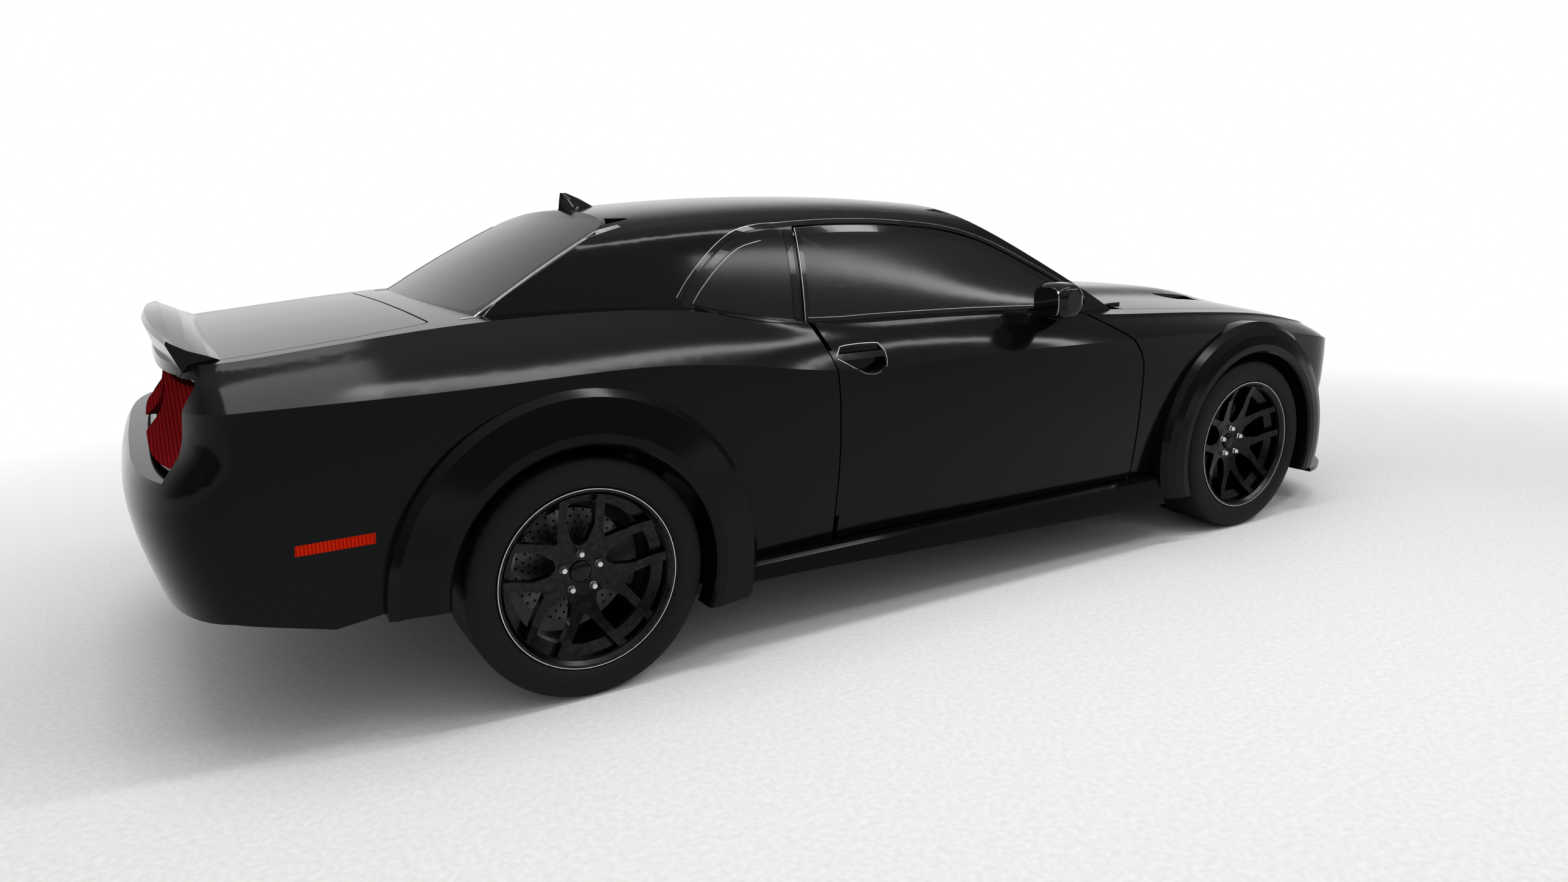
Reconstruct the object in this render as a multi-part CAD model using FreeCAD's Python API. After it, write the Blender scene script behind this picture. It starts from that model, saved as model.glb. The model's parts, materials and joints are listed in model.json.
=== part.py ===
"""Two-door wide-body muscle car at its real size, in millimetres.

+X points to the nose, +Y to the car's left side and +Z up. The origin is on the ground,
at the middle of the car's length and width.
"""
import FreeCAD
import Part
import math
import os

V = FreeCAD.Vector

# Driving dimensions
WHEELBASE = 2951.0
FRONT_AXLE_X = 1565.0
REAR_AXLE_X = FRONT_AXLE_X - WHEELBASE
TRACK_HALF = 828.0
TYRE_RADIUS = 361.0
TYRE_WIDTH = 305.0
RIM_RADIUS = 271.0
RIM_WIDTH = 280.0
NOSE_X = 2508.0
TAIL_X = -2508.0
FLARE_HALF_WIDTH = 1000.0
AXLE_Z = TYRE_RADIUS

# Walls, clearances and gaps
SKIN = 6.0
PANEL_GAP = 5.5
DOOR_FRONT_GAP = 8.0
DOOR_FLANGE = 14.0
FIT = 0.3
SIDE_WALL = 135.0
ROOF_WALL = 42.0
GLASS = 5.0

# Heights and places that several pieces share
BODY_BOTTOM = 140.0
BODY_TOP = 1230.0
BOOT_FLOOR_Z = 505.0
SILL_ROW_Z = 290.0
HOOD_HINGE = (1012.0, 960.0)
HOOD_HINGE_Y = 640.0
LID_FRONT_X = -1700.0
LID_HINGE = (LID_FRONT_X + 150.0, 1054.0)
LID_HINGE_Y = 525.0
LID_FRONT_GAP = 7.0
DOOR_FRONT_X = 925.0
DOOR_HINGE_X = 825.0
DOOR_HINGE_Y = 922.0
DOOR_HINGE_Z = (650.0, 806.0)
HINGE_KNUCKLE = 8.0
DOOR_DEPTH_Y = 790.0
HINGE_POST_Y = 828.0
KINGPIN_Y = 740.0
SIDE_SPLIT = 600.0
SHELF_Z = 765.0
LAMP_TOP_Z = 1008.0
LAMP_DEPTH = 60.0
LAMP_FACE = 30.0
SPLITTER_Z = (150.0, 168.0)
JACK_PAD_Z = 175.0
FRONT_FLARE = 525.0
REAR_FLARE = 555.0
FLARE_ROLL = 21.0
FLARE_EDGE_Y = 960.0


def spline(points):
    """A natural cubic spline through (x, value) pairs, straight past its ends."""
    xs = [p[0] for p in points]
    ys = [p[1] for p in points]
    n = len(xs)
    h = [xs[i + 1] - xs[i] for i in range(n - 1)]
    diag = [1.0] + [2.0 * (h[i - 1] + h[i]) for i in range(1, n - 1)] + [1.0]
    rhs = [0.0] * n
    upper = [0.0] * n
    for i in range(1, n - 1):
        rhs[i] = 6.0 * ((ys[i + 1] - ys[i]) / h[i] - (ys[i] - ys[i - 1]) / h[i - 1])
        upper[i] = h[i]
    for i in range(2, n - 1):
        w = h[i - 1] / diag[i - 1]
        diag[i] -= w * upper[i - 1]
        rhs[i] -= w * rhs[i - 1]
    m = [0.0] * n
    for i in range(n - 2, 0, -1):
        m[i] = (rhs[i] - upper[i] * m[i + 1]) / diag[i]
    first = (ys[1] - ys[0]) / h[0] - h[0] * m[1] / 6.0
    last = (ys[-1] - ys[-2]) / h[-1] + h[-1] * m[-2] / 6.0

    def value(x):
        if x <= xs[0]:
            return ys[0] + (x - xs[0]) * first
        if x >= xs[-1]:
            return ys[-1] + (x - xs[-1]) * last
        k = 0
        while x > xs[k + 1]:
            k += 1
        a = xs[k + 1] - x
        b = x - xs[k]
        return ((m[k] * a ** 3 + m[k + 1] * b ** 3) / (6.0 * h[k])
                + (ys[k] / h[k] - m[k] * h[k] / 6.0) * a
                + (ys[k + 1] / h[k] - m[k + 1] * h[k] / 6.0) * b)

    return value


# Lines along the car: half-widths and heights against x
CREASE_Y = spline([(-2150, 916), (-1850, 944), (-1386, 962), (-900, 953), (-450, 936),
                   (100, 938), (700, 945), (1150, 950), (1565, 948), (1950, 922)])
CREASE_Z = spline([(-2500, 930), (-2150, 940), (-1700, 945), (-1350, 958), (-1050, 956),
                   (-750, 915), (-450, 868), (-100, 872), (600, 872), (1200, 862),
                   (1800, 825), (2200, 760), (2500, 700)])
BELT_Y = spline([(-2150, 758), (-1900, 755), (-1640, 748), (-1350, 765), (-1000, 800),
                 (-535, 838), (0, 848), (600, 845), (1000, 830), (1565, 806), (1950, 772)])
BELT_Z = spline([(-2500, 1022), (-2200, 1046), (-1900, 1075), (-1640, 1096),
                 (-1300, 1106), (-1012, 1099), (-800, 1068), (-535, 1020),
                 (-247, 1013), (111, 1006), (452, 991), (755, 966), (1242, 940),
                 (1617, 914), (1894, 885), (2121, 842), (2300, 805), (2500, 745)])
CROWN = spline([(-2500, 6), (-2200, 10), (-1700, 12), (-1000, 20), (0, 34), (870, 42),
                (1250, 44), (1600, 46), (2000, 52), (2500, 50)])
BULGE_HEIGHT = spline([(600, 0), (950, 14), (1250, 30), (1700, 32), (1950, 28), (2150, 0),
                       (2500, 0)])
BULGE_INNER = 250.0
BULGE_OUTER = 400.0
ROOF_Z = spline([(-1800, 1330), (-1400, 1362), (-1100, 1392), (-900, 1412), (-650, 1428),
                 (-400, 1434), (-133, 1430), (100, 1418), (260, 1403), (700, 1350),
                 (1250, 1260)])
RAIL_Z = spline([(-1800, 1250), (-1400, 1275), (-1000, 1315), (-700, 1340), (-400, 1347),
                 (-93, 1338), (154, 1316), (500, 1280), (1250, 1190)])
CABIN_BELT_Y = spline([(-1800, 640), (-1400, 715), (-1000, 786), (-535, 832), (0, 838),
                       (450, 820), (900, 762), (1250, 690)])
CABIN_RAIL_Y = spline([(-1800, 560), (-1300, 600), (-900, 640), (-400, 658), (0, 654),
                       (300, 640), (900, 575), (1250, 530)])

# Where the rounded ends of the body start
NOSE_START = 1950.0
TAIL_START = -2150.0


def box(x0, x1, y0, y1, z0, z1):
    return Part.makeBox(x1 - x0, y1 - y0, z1 - z0, V(x0, y0, z0))


def mirrored(shape):
    return shape.mirror(V(0, 0, 0), V(0, 1, 0))


def both(shape):
    """A shape and its mirror image, as separate solids."""
    return Part.makeCompound([shape, mirrored(shape)])


def cylinder_y(x, z, radius, y0, y1):
    return Part.makeCylinder(radius, y1 - y0, V(x, y0, z), V(0, 1, 0))


def polygon(points):
    """A closed wire through 3-D points."""
    vectors = [V(*p) for p in points]
    return Part.makePolygon(vectors + [vectors[0]])


def rounded(points, radii):
    """A closed wire of straight runs with its corners rounded, in any plane."""
    n = len(points)
    starts, mids, ends = [], [], []
    for i in range(n):
        p = V(*points[i])
        before = V(*points[i - 1])
        after = V(*points[(i + 1) % n])
        radius = radii[i] if isinstance(radii, (list, tuple)) else radii
        a = (before - p).normalize()
        b = (after - p).normalize()
        half = 0.5 * a.getAngle(b)
        if radius <= 0.0 or half > 0.5 * math.pi - 1e-3:
            starts.append(p)
            mids.append(None)
            ends.append(p)
            continue
        reach = radius / math.tan(half)
        centre = p + (a + b).normalize() * (radius / math.sin(half))
        starts.append(p + a * reach)
        ends.append(p + b * reach)
        mids.append(centre + (p - centre).normalize() * radius)
    edges = []
    for i in range(n):
        if mids[i] is not None:
            edges.append(Part.Arc(starts[i], mids[i], ends[i]).toShape())
        following = starts[(i + 1) % n]
        if (following - ends[i]).Length > 1e-6:
            edges.append(Part.LineSegment(ends[i], following).toShape())
    return Part.Wire(edges)


def prism_xz(points, y0, y1, radii=0.0):
    """An outline in the side view, carried from y0 to y1."""
    wire = rounded([(x, y0, z) for x, z in points], radii)
    return Part.Face(wire).extrude(V(0, y1 - y0, 0))


def prism_xy(points, z0, z1, radii=0.0):
    """An outline in the top view, carried from z0 to z1."""
    wire = rounded([(x, y, z0) for x, y in points], radii)
    return Part.Face(wire).extrude(V(0, 0, z1 - z0))


def prism_yz(points, x0, x1, radii=0.0):
    """An outline in the front view, carried from x0 to x1."""
    wire = rounded([(x0, y, z) for y, z in points], radii)
    return Part.Face(wire).extrude(V(x1 - x0, 0, 0))


def knots(count, degree):
    """Clamped uniform knots and their multiplicities."""
    inner = count - degree
    values = [float(i) for i in range(inner + 1)]
    mults = [degree + 1] + [1] * (inner - 1) + [degree + 1]
    return values, mults


def pole_surface(rows, row_degree=3, column_degree=3):
    """A clamped B-spline face whose poles are the rows of points."""
    u_knots, u_mults = knots(len(rows), row_degree)
    v_knots, v_mults = knots(len(rows[0]), column_degree)
    surface = Part.BSplineSurface()
    surface.buildFromPolesMultsKnots(rows, u_mults, v_mults, u_knots, v_knots,
                                     False, False, row_degree, column_degree)
    return surface.toShape()


def closed_solid(faces):
    shell = Part.makeShell(faces)
    shell.sewShape()
    solid = Part.makeSolid(shell)
    if solid.Volume < 0:
        solid.reverse()
    return solid


def revolve_y(points, x, z):
    """A closed (radius, y) outline turned about the axle line at x, z."""
    wire = polygon([(x + r, y, z) for r, y in points])
    return Part.Face(wire).revolve(V(x, 0, z), V(0, 1, 0), 360)


# Rows of the body's side, each round the whole car
class Row:
    """Inset from the crease at the side, its height, and its reach at nose and tail."""

    def __init__(self, inset, z, nose_x, tail_x, nose_narrow, tail_narrow):
        self.inset = inset
        self.z = z
        self.nose_x = nose_x
        self.tail_x = tail_x
        self.nose_narrow = nose_narrow
        self.tail_narrow = tail_narrow


def level(z):
    return lambda x: z


def belt_inset(share):
    return lambda x: (CREASE_Y(x) - BELT_Y(x)) * share


def rise(share):
    return lambda x: CREASE_Z(x) + (BELT_Z(x) - CREASE_Z(x)) * share


def from_sill(share):
    return lambda x: SILL_ROW_Z + (CREASE_Z(x) - SILL_ROW_Z) * share


LOWER_ROWS = [
    Row(level(80.0), level(BODY_BOTTOM), 2290.0, -2360.0, 60.0, 60.0),
    Row(level(46.0), level(SILL_ROW_Z), 2395.0, -2420.0, 40.0, 40.0),
    Row(level(20.0), from_sill(0.30), 2492.0, -2480.0, 20.0, 15.0),
    Row(level(8.0), from_sill(0.55), NOSE_X + 4.0, TAIL_X - 2.0, 8.0, 5.0),
    Row(level(5.0), from_sill(0.73), 2508.0, -2502.0, 4.0, 0.0),
    Row(level(3.0), from_sill(0.82), 2504.0, -2412.0, 0.0, 0.0),
    Row(level(1.0), from_sill(0.91), 2498.0, -2398.0, 0.0, 0.0),
    Row(level(0.0), CREASE_Z, 2490.0, -2392.0, 0.0, 0.0),
]
UPPER_ROWS = [
    LOWER_ROWS[-1],
    Row(belt_inset(0.25), rise(0.34), 2480.0, -2388.0, 0.0, 0.0),
    Row(belt_inset(0.62), rise(0.72), 2462.0, -2384.0, 0.0, 0.0),
    Row(belt_inset(1.12), rise(1.08), 2430.0, -2378.0, 0.0, 0.0),
    Row(belt_inset(1.90), level(BODY_TOP), 2370.0, -2360.0, 0.0, 0.0),
]
ROUND_NOSE = 2.9
ROUND_TAIL = 3.6
END_POINTS = 9
SIDE_POINTS = 17


def ring(row, offset):
    """Points of a row from the tail's centre along the right side to the nose and back.

    The offset moves the row inward."""

    def end_points(start, end, narrow, power):
        side_y = CREASE_Y(start) - row.inset(start) - offset
        length = abs(end - start) - offset
        direction = 1.0 if end > start else -1.0
        found = []
        for k in range(1, END_POINTS + 1):
            t = 0.5 * math.pi * k / END_POINTS
            c = max(math.cos(t), 0.0) ** (2.0 / power)
            s = math.sin(t) ** (2.0 / power)
            x = start + direction * length * s
            y = side_y * c * (1.0 - narrow / side_y * s * s)
            if k == END_POINTS:
                y = 0.0
            found.append((x, -y))
        return found

    nose = end_points(NOSE_START, row.nose_x, row.nose_narrow, ROUND_NOSE)
    tail = end_points(TAIL_START, row.tail_x, row.tail_narrow, ROUND_TAIL)
    side = []
    for k in range(SIDE_POINTS):
        x = TAIL_START + (NOSE_START - TAIL_START) * k / (SIDE_POINTS - 1)
        side.append((x, -(CREASE_Y(x) - row.inset(x) - offset)))
    right = list(reversed(tail)) + side + nose
    left = [(x, -y) for x, y in reversed(right[:-1])]
    return [V(x, y, row.z(x)) for x, y in right + left]


def body_block(offset):
    """The closed side form of the body, moved inward by the offset."""
    lower = pole_surface([ring(r, offset) for r in LOWER_ROWS])
    upper = pole_surface([ring(r, offset) for r in UPPER_ROWS])
    faces = [lower, upper]
    for face, z in ((lower, BODY_BOTTOM), (upper, BODY_TOP)):
        for edge in face.Edges:
            bounds = edge.BoundBox
            if abs(bounds.ZMin - z) < 1e-3 and abs(bounds.ZMax - z) < 1e-3:
                faces.append(Part.Face(Part.Wire(edge)))
    return closed_solid(faces)


def top_z(x, y):
    """Height of the hood, the deck and the surface that joins them."""
    across = (y / BELT_Y(x)) ** 2
    height = BELT_Z(x) + CROWN(x) * (1.0 - across)
    if 600.0 < x < 2130.0 and abs(y) < BULGE_OUTER:
        fall = min(max((BULGE_OUTER - abs(y)) / (BULGE_OUTER - BULGE_INNER), 0.0), 1.0)
        height += max(BULGE_HEIGHT(x), 0.0) * fall * fall * (3.0 - 2.0 * fall)
    return height


def above_top(shift):
    """Everything above the hood and deck surface, shifted by a height."""
    half = (1060.0, 900.0, 740.0, 600.0, 490.0, 415.0, 355.0, 300.0, 230.0, 120.0)
    across = [-y for y in half] + [0.0] + list(reversed(half))
    rows = []
    for i in range(29):
        x = -2660.0 + i * 190.0
        rows.append([V(x, y, top_z(x, y) + shift) for y in across])
    return pole_surface(rows).extrude(V(0, 0, 900))


def cabin_top(offset):
    """The closed form of the roof and its sides, moved inward by the offset."""
    bottom = 850.0
    stations = (-1800, -1500, -1200, -900, -600, -300, 0, 300, 600, 900, 1180)
    rows = []
    for x in stations:
        belt = CABIN_BELT_Y(x) - offset
        rail = CABIN_RAIL_Y(x) - offset * 0.85
        rail_z = RAIL_Z(x) - offset * 0.6
        roof = ROOF_Z(x) - offset
        half = [(belt + 24.0, bottom), (belt + 14.0, 925.0), (belt - 12.0, 1020.0),
                (rail + 48.0, rail_z - 85.0), (rail - 4.0, rail_z + 18.0),
                (rail - 120.0, roof - 26.0), (rail * 0.4, roof - 4.0)]
        section = [V(x, -y, z) for y, z in half]
        section.append(V(x, 0, roof))
        section += [V(x, y, z) for y, z in reversed(half)]
        rows.append(section)
    skin = pole_surface(rows)
    ends = []
    for row in (rows[0], rows[-1]):
        edge = [e for e in skin.Edges if e.BoundBox.XLength < 1e-3
                and abs(e.BoundBox.XMin - row[0].x) < 1e-3][0]
        line = Part.LineSegment(row[0], row[-1]).toShape()
        ends.append(Part.Face(Part.Wire(Part.__sortEdges__([edge, line]))))
    sides = [e for e in skin.Edges if e.BoundBox.ZLength < 1e-3]
    closing = [Part.LineSegment(row[0], row[-1]).toShape() for row in (rows[0], rows[-1])]
    ends.append(Part.Face(Part.Wire(Part.__sortEdges__(sides + closing))))
    return closed_solid([skin] + ends)


def glass_plane(base, header, base_sweep, header_sweep, bow, shift):
    """A bowed sheet from a base line up to a header line, past both ends.

    base and header are (x, z) on the centreline, the sweeps move their ends in x."""
    rows = []
    dx, dz = header[0] - base[0], header[1] - base[1]
    length = math.hypot(dx, dz)
    out = (dz / length, -dx / length)
    if out[1] < 0:
        out = (-out[0], -out[1])
    for i in range(7):
        t = -0.45 + 1.9 * i / 6.0
        row = []
        for j in range(13):
            y = -1020.0 + 170.0 * j
            sweep = (base_sweep + (header_sweep - base_sweep) * t) * (y / 700.0) ** 2
            swell = bow * (1.0 - (2.0 * t - 1.0) ** 2) + shift
            row.append(V(base[0] + dx * t + sweep + out[0] * swell, y,
                         base[1] + dz * t + out[1] * swell))
        rows.append(row)
    return pole_surface(rows), V(out[0], 0, out[1])


def beyond_windshield(shift):
    face, out = glass_plane((1012.0, 1012.0), (250.0, 1402.0), -125.0, -135.0, 14.0, shift)
    return face.extrude(out * 900.0)


def beyond_rear_glass(shift):
    face, out = glass_plane((-1632.0, 1092.0), (-1085.0, 1394.0), 50.0, 95.0, 12.0, shift)
    return face.extrude(out * 900.0)


def outline(*runs):
    """A closed wire in the side view (x, z) or another plane given by 3-D points.

    Each run is a list of points: two make a straight edge, more make a smooth curve.
    Each run starts where the one before it ends."""
    edges = []
    for points in runs:
        vectors = [V(*p) for p in points]
        if len(vectors) == 2:
            edges.append(Part.LineSegment(vectors[0], vectors[1]).toShape())
        else:
            curve = Part.BSplineCurve()
            curve.interpolate(vectors)
            edges.append(curve.toShape())
    return Part.Wire(edges)


def side_points(points, y):
    return [(x, y, z) for x, z in points]


def offset_wire(wire, grow):
    """A wire grown in its plane, with its curves fitted again as plain splines."""
    edges = []
    for edge in wire.makeOffset2D(grow).OrderedEdges:
        if edge.Curve.TypeId in ("Part::GeomLine", "Part::GeomCircle"):
            edges.append(edge)
            continue
        points = edge.discretize(Number=12)
        curve = Part.BSplineCurve()
        curve.interpolate(points)
        edges.append(curve.toShape())
    return Part.Wire(Part.__sortEdges__(edges))


def side_prism(runs, y0, y1, grow=0.0):
    """A side-view outline of runs, grown all round and carried from y0 to y1."""
    wire = outline(*[side_points(run, y0) for run in runs])
    if grow:
        wire = offset_wire(wire, grow)
    return Part.Face(wire).extrude(V(0, y1 - y0, 0))


def grown_xy(points, grow, z0, z1, radius):
    wire = rounded([(x, y, z0) for x, y in points], radius)
    if grow:
        wire = wire.makeOffset2D(grow)
    return Part.Face(wire).extrude(V(0, 0, z1 - z0))


OUT = -1100.0

# Side-view outlines of the right side
DOOR_BOTTOM = 300.0
DOOR_REAR = [(-548, 1024), (-530, 974), (-505, 890), (-491, 768), (-489, 600), (-496, 420),
             (-500, DOOR_BOTTOM)]
DOOR_TOP = [(672, 985), (452, 998), (111, 1012), (-247, 1019), (-420, 1019), (-548, 1024)]
DOOR_SLANT = [(DOOR_FRONT_X, 725), (910, 800), (846, 876), (755, 934), (672, 985)]
DOOR_RUNS = [DOOR_REAR, [(-500, DOOR_BOTTOM), (DOOR_FRONT_X, DOOR_BOTTOM)],
             [(DOOR_FRONT_X, DOOR_BOTTOM), (DOOR_FRONT_X, 725)], DOOR_SLANT, DOOR_TOP]
GLASS_BOTTOM = [(x, z + FIT) for x, z in DOOR_TOP]
DOOR_GLASS_RUNS = [
    [GLASS_BOTTOM[-1], (-520, 1180), (-500, 1325)],
    [(-500, 1325), (-300, 1329), (-93, 1320), (154, 1292), (352, 1236), (563, 1136),
     (716, 1050), (778, 1004)],
    [(778, 1004), GLASS_BOTTOM[0]],
    GLASS_BOTTOM,
]
QUARTER_GLASS_RUNS = [
    [(-586, 1040), (-562, 1180), (-546, 1322)],
    [(-546, 1322), (-640, 1318), (-730, 1296), (-820, 1240), (-905, 1165), (-952, 1112)],
    [(-952, 1112), (-860, 1090), (-740, 1062), (-586, 1040)],
]
TAIL_UNDERSIDE = [(-3000, 0), (-3000, 428), (-2290, 392), (-2060, 335), (-1905, 362),
                  (-1700, 362), (-1700, 0)]
SILL_UNDERSIDE = [(-1700, 0), (-1700, 262), (1200, 190), (1200, 0)]
HINGE_ROOM = [(846, -870), (864, -822), (940, -822), (940, -1000), (846, -1000)]
HINGE_ROOM_LOW = [(-1000, 290), (-806, 290), (-842, 640), (-858, 700), (-1000, 700)]
FENDER_RUNS = [
    [(664, 1100), (672, 985)],
    list(reversed(DOOR_SLANT)),
    [(DOOR_FRONT_X, 725), (DOOR_FRONT_X, 172)],
    [(DOOR_FRONT_X, 172), (2000, 172)],
    [(2000, 172), (2000, 1100)],
    [(2000, 1100), (664, 1100)],
]
BUMPER_SPLIT_X = 1990.0
HOOD_OUTLINE = [(1010, -748), (1500, -740), (2050, -690), (2300, -600), (2405, -380), (2430, 0),
                (2405, 380), (2300, 600), (2050, 690), (1500, 740), (1010, 748),
                (1062, 520), (1090, 0), (1062, -520)]
LID_OUTLINE = [(LID_FRONT_X, -640), (LID_FRONT_X, 640), (-1900, 690), (-2440, 700),
               (-2440, -700), (-1900, -690)]
VENT = [(1650, -345), (1690, -470), (1880, -455), (1905, -345)]
VENT_DEPTH = 18.0
HANDLE_POCKET = [(-494, 918), (-470, 945), (-318, 945), (-303, 922), (-308, 880), (-340, 861),
                 (-392, 862)]
HANDLE_POCKET_Y = -894.0
HANDLE_BAR_Y = -902.0
HANDLE_BAR_Z = (906.0, 926.0)
REAR_MARKER = [(-2138, 556), (-1946, 562), (-1944, 592), (-2136, 585)]
FRONT_MARKER = [(2036, 458), (2112, 456), (2116, 480), (2036, 484)]


def save(name, shape):
    shape.exportStep(os.path.join("parts", name + ".step"))


def only_solids(shape):
    """The shape as its solids alone, without slivers."""
    found = [s for s in shape.Solids if abs(s.Volume) > 500.0]
    if len(found) == 1:
        return found[0]
    return Part.makeCompound(found)


def make_body():
    lower = body_block(0.0).cut(above_top(0.0))
    inner = body_block(SKIN).cut(above_top(-SKIN))
    skin = lower.cut(inner)
    roof = cabin_top(0.0).cut(beyond_windshield(0.0)).cut(beyond_rear_glass(0.0))
    outer = lower.fuse(roof)
    return lower, inner, skin, roof, outer


def arch(x, radius, y0, y1):
    return cylinder_y(x, AXLE_Z, radius, y0, y1)


# Wheels
def tyre(x, y, side):
    """A tyre turned about its axle, with rounded walls and shoulders."""
    half = TYRE_WIDTH / 2.0
    seat = RIM_SEAT_RADIUS + FIT
    flange = RIM_WIDTH / 2.0 - RIM_LIP - FIT
    wall = [(RIM_RADIUS + FIT, flange), (RIM_RADIUS + 14.0, half - 5.0), (308.0, half),
            (334.0, half - 3.0), (TYRE_RADIUS - 9.0, half - 12.0),
            (TYRE_RADIUS - 2.0, half - 25.0)]
    tread = (TYRE_RADIUS, half - 50.0)
    other = [(r, -w) for r, w in reversed(wall)]
    runs = [[(seat, flange), wall[0]], wall, [wall[-1], tread], [tread, (tread[0], -tread[1])],
            [(tread[0], -tread[1]), other[0]], other,
            [other[-1], (seat, -flange)], [(seat, -flange), (seat, flange)]]
    wire = outline(*[[(x + r, y + w, AXLE_Z) for r, w in run] for run in runs])
    return Part.Face(wire).revolve(V(x, 0, AXLE_Z), V(0, 1, 0), 360)


RIM_SEAT_RADIUS = 255.7
RIM_LIP = 6.0
RIM_WALL = 8.0
HUB_FACE = 10.0
SPOKES = 5
WINDOW_HALF = 43.0
ARM_WIDTH = 27.0
DISC_THICK = 32.0


def rim(x, y, side):
    """A barrel, and five forked spokes that reach its outer lip. side is -1 or +1."""
    half = RIM_WIDTH / 2.0
    seat = RIM_SEAT_RADIUS
    inside = seat - RIM_WALL
    drop = 30.0
    barrel = [(seat, half - RIM_LIP), (RIM_RADIUS, half - RIM_LIP), (RIM_RADIUS, half),
              (inside + 12.0, half), (inside + 2.0, half - 12.0), (inside, 92.0),
              (inside - drop, 76.0), (inside - drop, 34.0), (inside, 14.0),
              (inside, -half + 12.0), (inside + 12.0, -half), (RIM_RADIUS, -half),
              (RIM_RADIUS, -half + RIM_LIP), (seat, -half + RIM_LIP), (seat, 18.0),
              (seat - drop, 38.0), (seat - drop, 72.0), (seat, 88.0)]
    ring = revolve_y([(r, y + side * w) for r, w in barrel], x, AXLE_Z)
    face = [(0.0, 58.0), (34.0, 58.0), (70.0, 64.0), (120.0, 76.0), (200.0, 98.0),
            (inside + 1.0, 122.0), (inside + 1.0, 96.0), (200.0, 70.0), (120.0, 46.0),
            (80.0, 30.0), (75.0, HUB_FACE), (0.0, HUB_FACE)]
    disc = revolve_y([(r, y + side * w) for r, w in face], x, AXLE_Z)
    limit = cylinder_y(x, AXLE_Z, inside, y - 200, y + 200)
    for k in range(SPOKES):
        angle = 90.0 + 72.0 * k
        shield = [(WINDOW_HALF, 300.0), (WINDOW_HALF, 149.0), (24.0, 96.0), (0.0, 80.0),
                  (-24.0, 96.0), (-WINDOW_HALF, 149.0), (-WINDOW_HALF, 300.0)]
        fork = math.radians(36.0)
        apex = (WINDOW_HALF + ARM_WIDTH) / math.sin(fork)
        reach = 300.0 - apex
        vee = [(0.0, apex), (reach * math.tan(fork), 300.0), (-reach * math.tan(fork), 300.0)]
        for points, radii, turn in ((shield, [2, 30, 14, 14, 14, 30, 2], angle),
                                    (vee, [10, 2, 2], angle + 36.0)):
            a = math.radians(turn)
            placed = []
            for across, along in points:
                placed.append((x + along * math.cos(a) + across * math.sin(a),
                               y - 200.0,
                               AXLE_Z + along * math.sin(a) - across * math.cos(a)))
            cutter = Part.Face(rounded(placed, radii)).extrude(V(0, 400, 0))
            disc = disc.cut(cutter.common(limit))
    return ring.fuse(disc).removeSplitter()


def brake_disc(x, y, side, radius):
    """A vented disc with its hat, which seats on the rim's hub face."""
    inner = -DISC_THICK / 2.0 - 38.0
    hat = 84.0
    points = [(radius, inner), (radius, inner + DISC_THICK), (hat, inner + DISC_THICK),
              (hat, HUB_FACE), (36.0, HUB_FACE), (36.0, HUB_FACE - 8.0),
              (hat - 7.0, HUB_FACE - 8.0), (hat - 7.0, inner)]
    return revolve_y([(r, y + side * w) for r, w in points], x, AXLE_Z)


def caliper(x, y, side, disc_radius, middle):
    """A caliper over the disc, as an arc centred on an angle in the side view."""
    disc_in = -DISC_THICK / 2.0 - 38.0
    gap = 3.0
    outline_points = [(disc_radius - 72.0, disc_in - 28.0), (disc_radius + 22.0, disc_in - 28.0),
                      (disc_radius + 22.0, disc_in + DISC_THICK + 30.0),
                      (disc_radius - 72.0, disc_in + DISC_THICK + 30.0),
                      (disc_radius - 72.0, disc_in + DISC_THICK + gap),
                      (disc_radius + gap, disc_in + DISC_THICK + gap),
                      (disc_radius + gap, disc_in - gap), (disc_radius - 72.0, disc_in - gap)]
    wire = polygon([(x + r, y + side * w, AXLE_Z) for r, w in outline_points])
    face = Part.Face(wire)
    span = 56.0
    start = -middle - span / 2.0
    face.rotate(V(x, 0, AXLE_Z), V(0, 1, 0), start)
    return face.revolve(V(x, 0, AXLE_Z), V(0, 1, 0), span)


KNUCKLE_BOTTOM = 206.0
KNUCKLE_TOP = 520.0
SPINDLE_RADIUS = 35.0
FRONT_DISC = 195.0
REAR_DISC = 175.0


def hub_carrier(x, side):
    """The hub housing and its spindle, which ends just short of the disc's hat."""
    y = side * TRACK_HALF
    end = y + side * (HUB_FACE - 8.0 - FIT)
    start = side * 700.0
    spindle = cylinder_y(x, AXLE_Z, SPINDLE_RADIUS, min(start, end), max(start, end))
    a, b = side * 705.0, side * 766.0
    return spindle.fuse(cylinder_y(x, AXLE_Z, 66.0, min(a, b), max(a, b)))


def front_knuckle(side):
    x = FRONT_AXLE_X
    y = side * KINGPIN_Y
    upright = box(x - 26, x + 26, y - 26, y + 26, KNUCKLE_BOTTOM, KNUCKLE_TOP)
    arm = Part.makeBox(190, 26, 30, V(x - 190, y - 13, 250))
    y_mid = side * TRACK_HALF
    bracket = box(x - 160, x - 20, min(y, y + side * 24), max(y, y + side * 24), 320, 400)
    piece = hub_carrier(x, side).fuse([upright, arm, bracket,
                                       caliper(x, y_mid, side, FRONT_DISC, 180.0)])
    return piece.removeSplitter()


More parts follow.
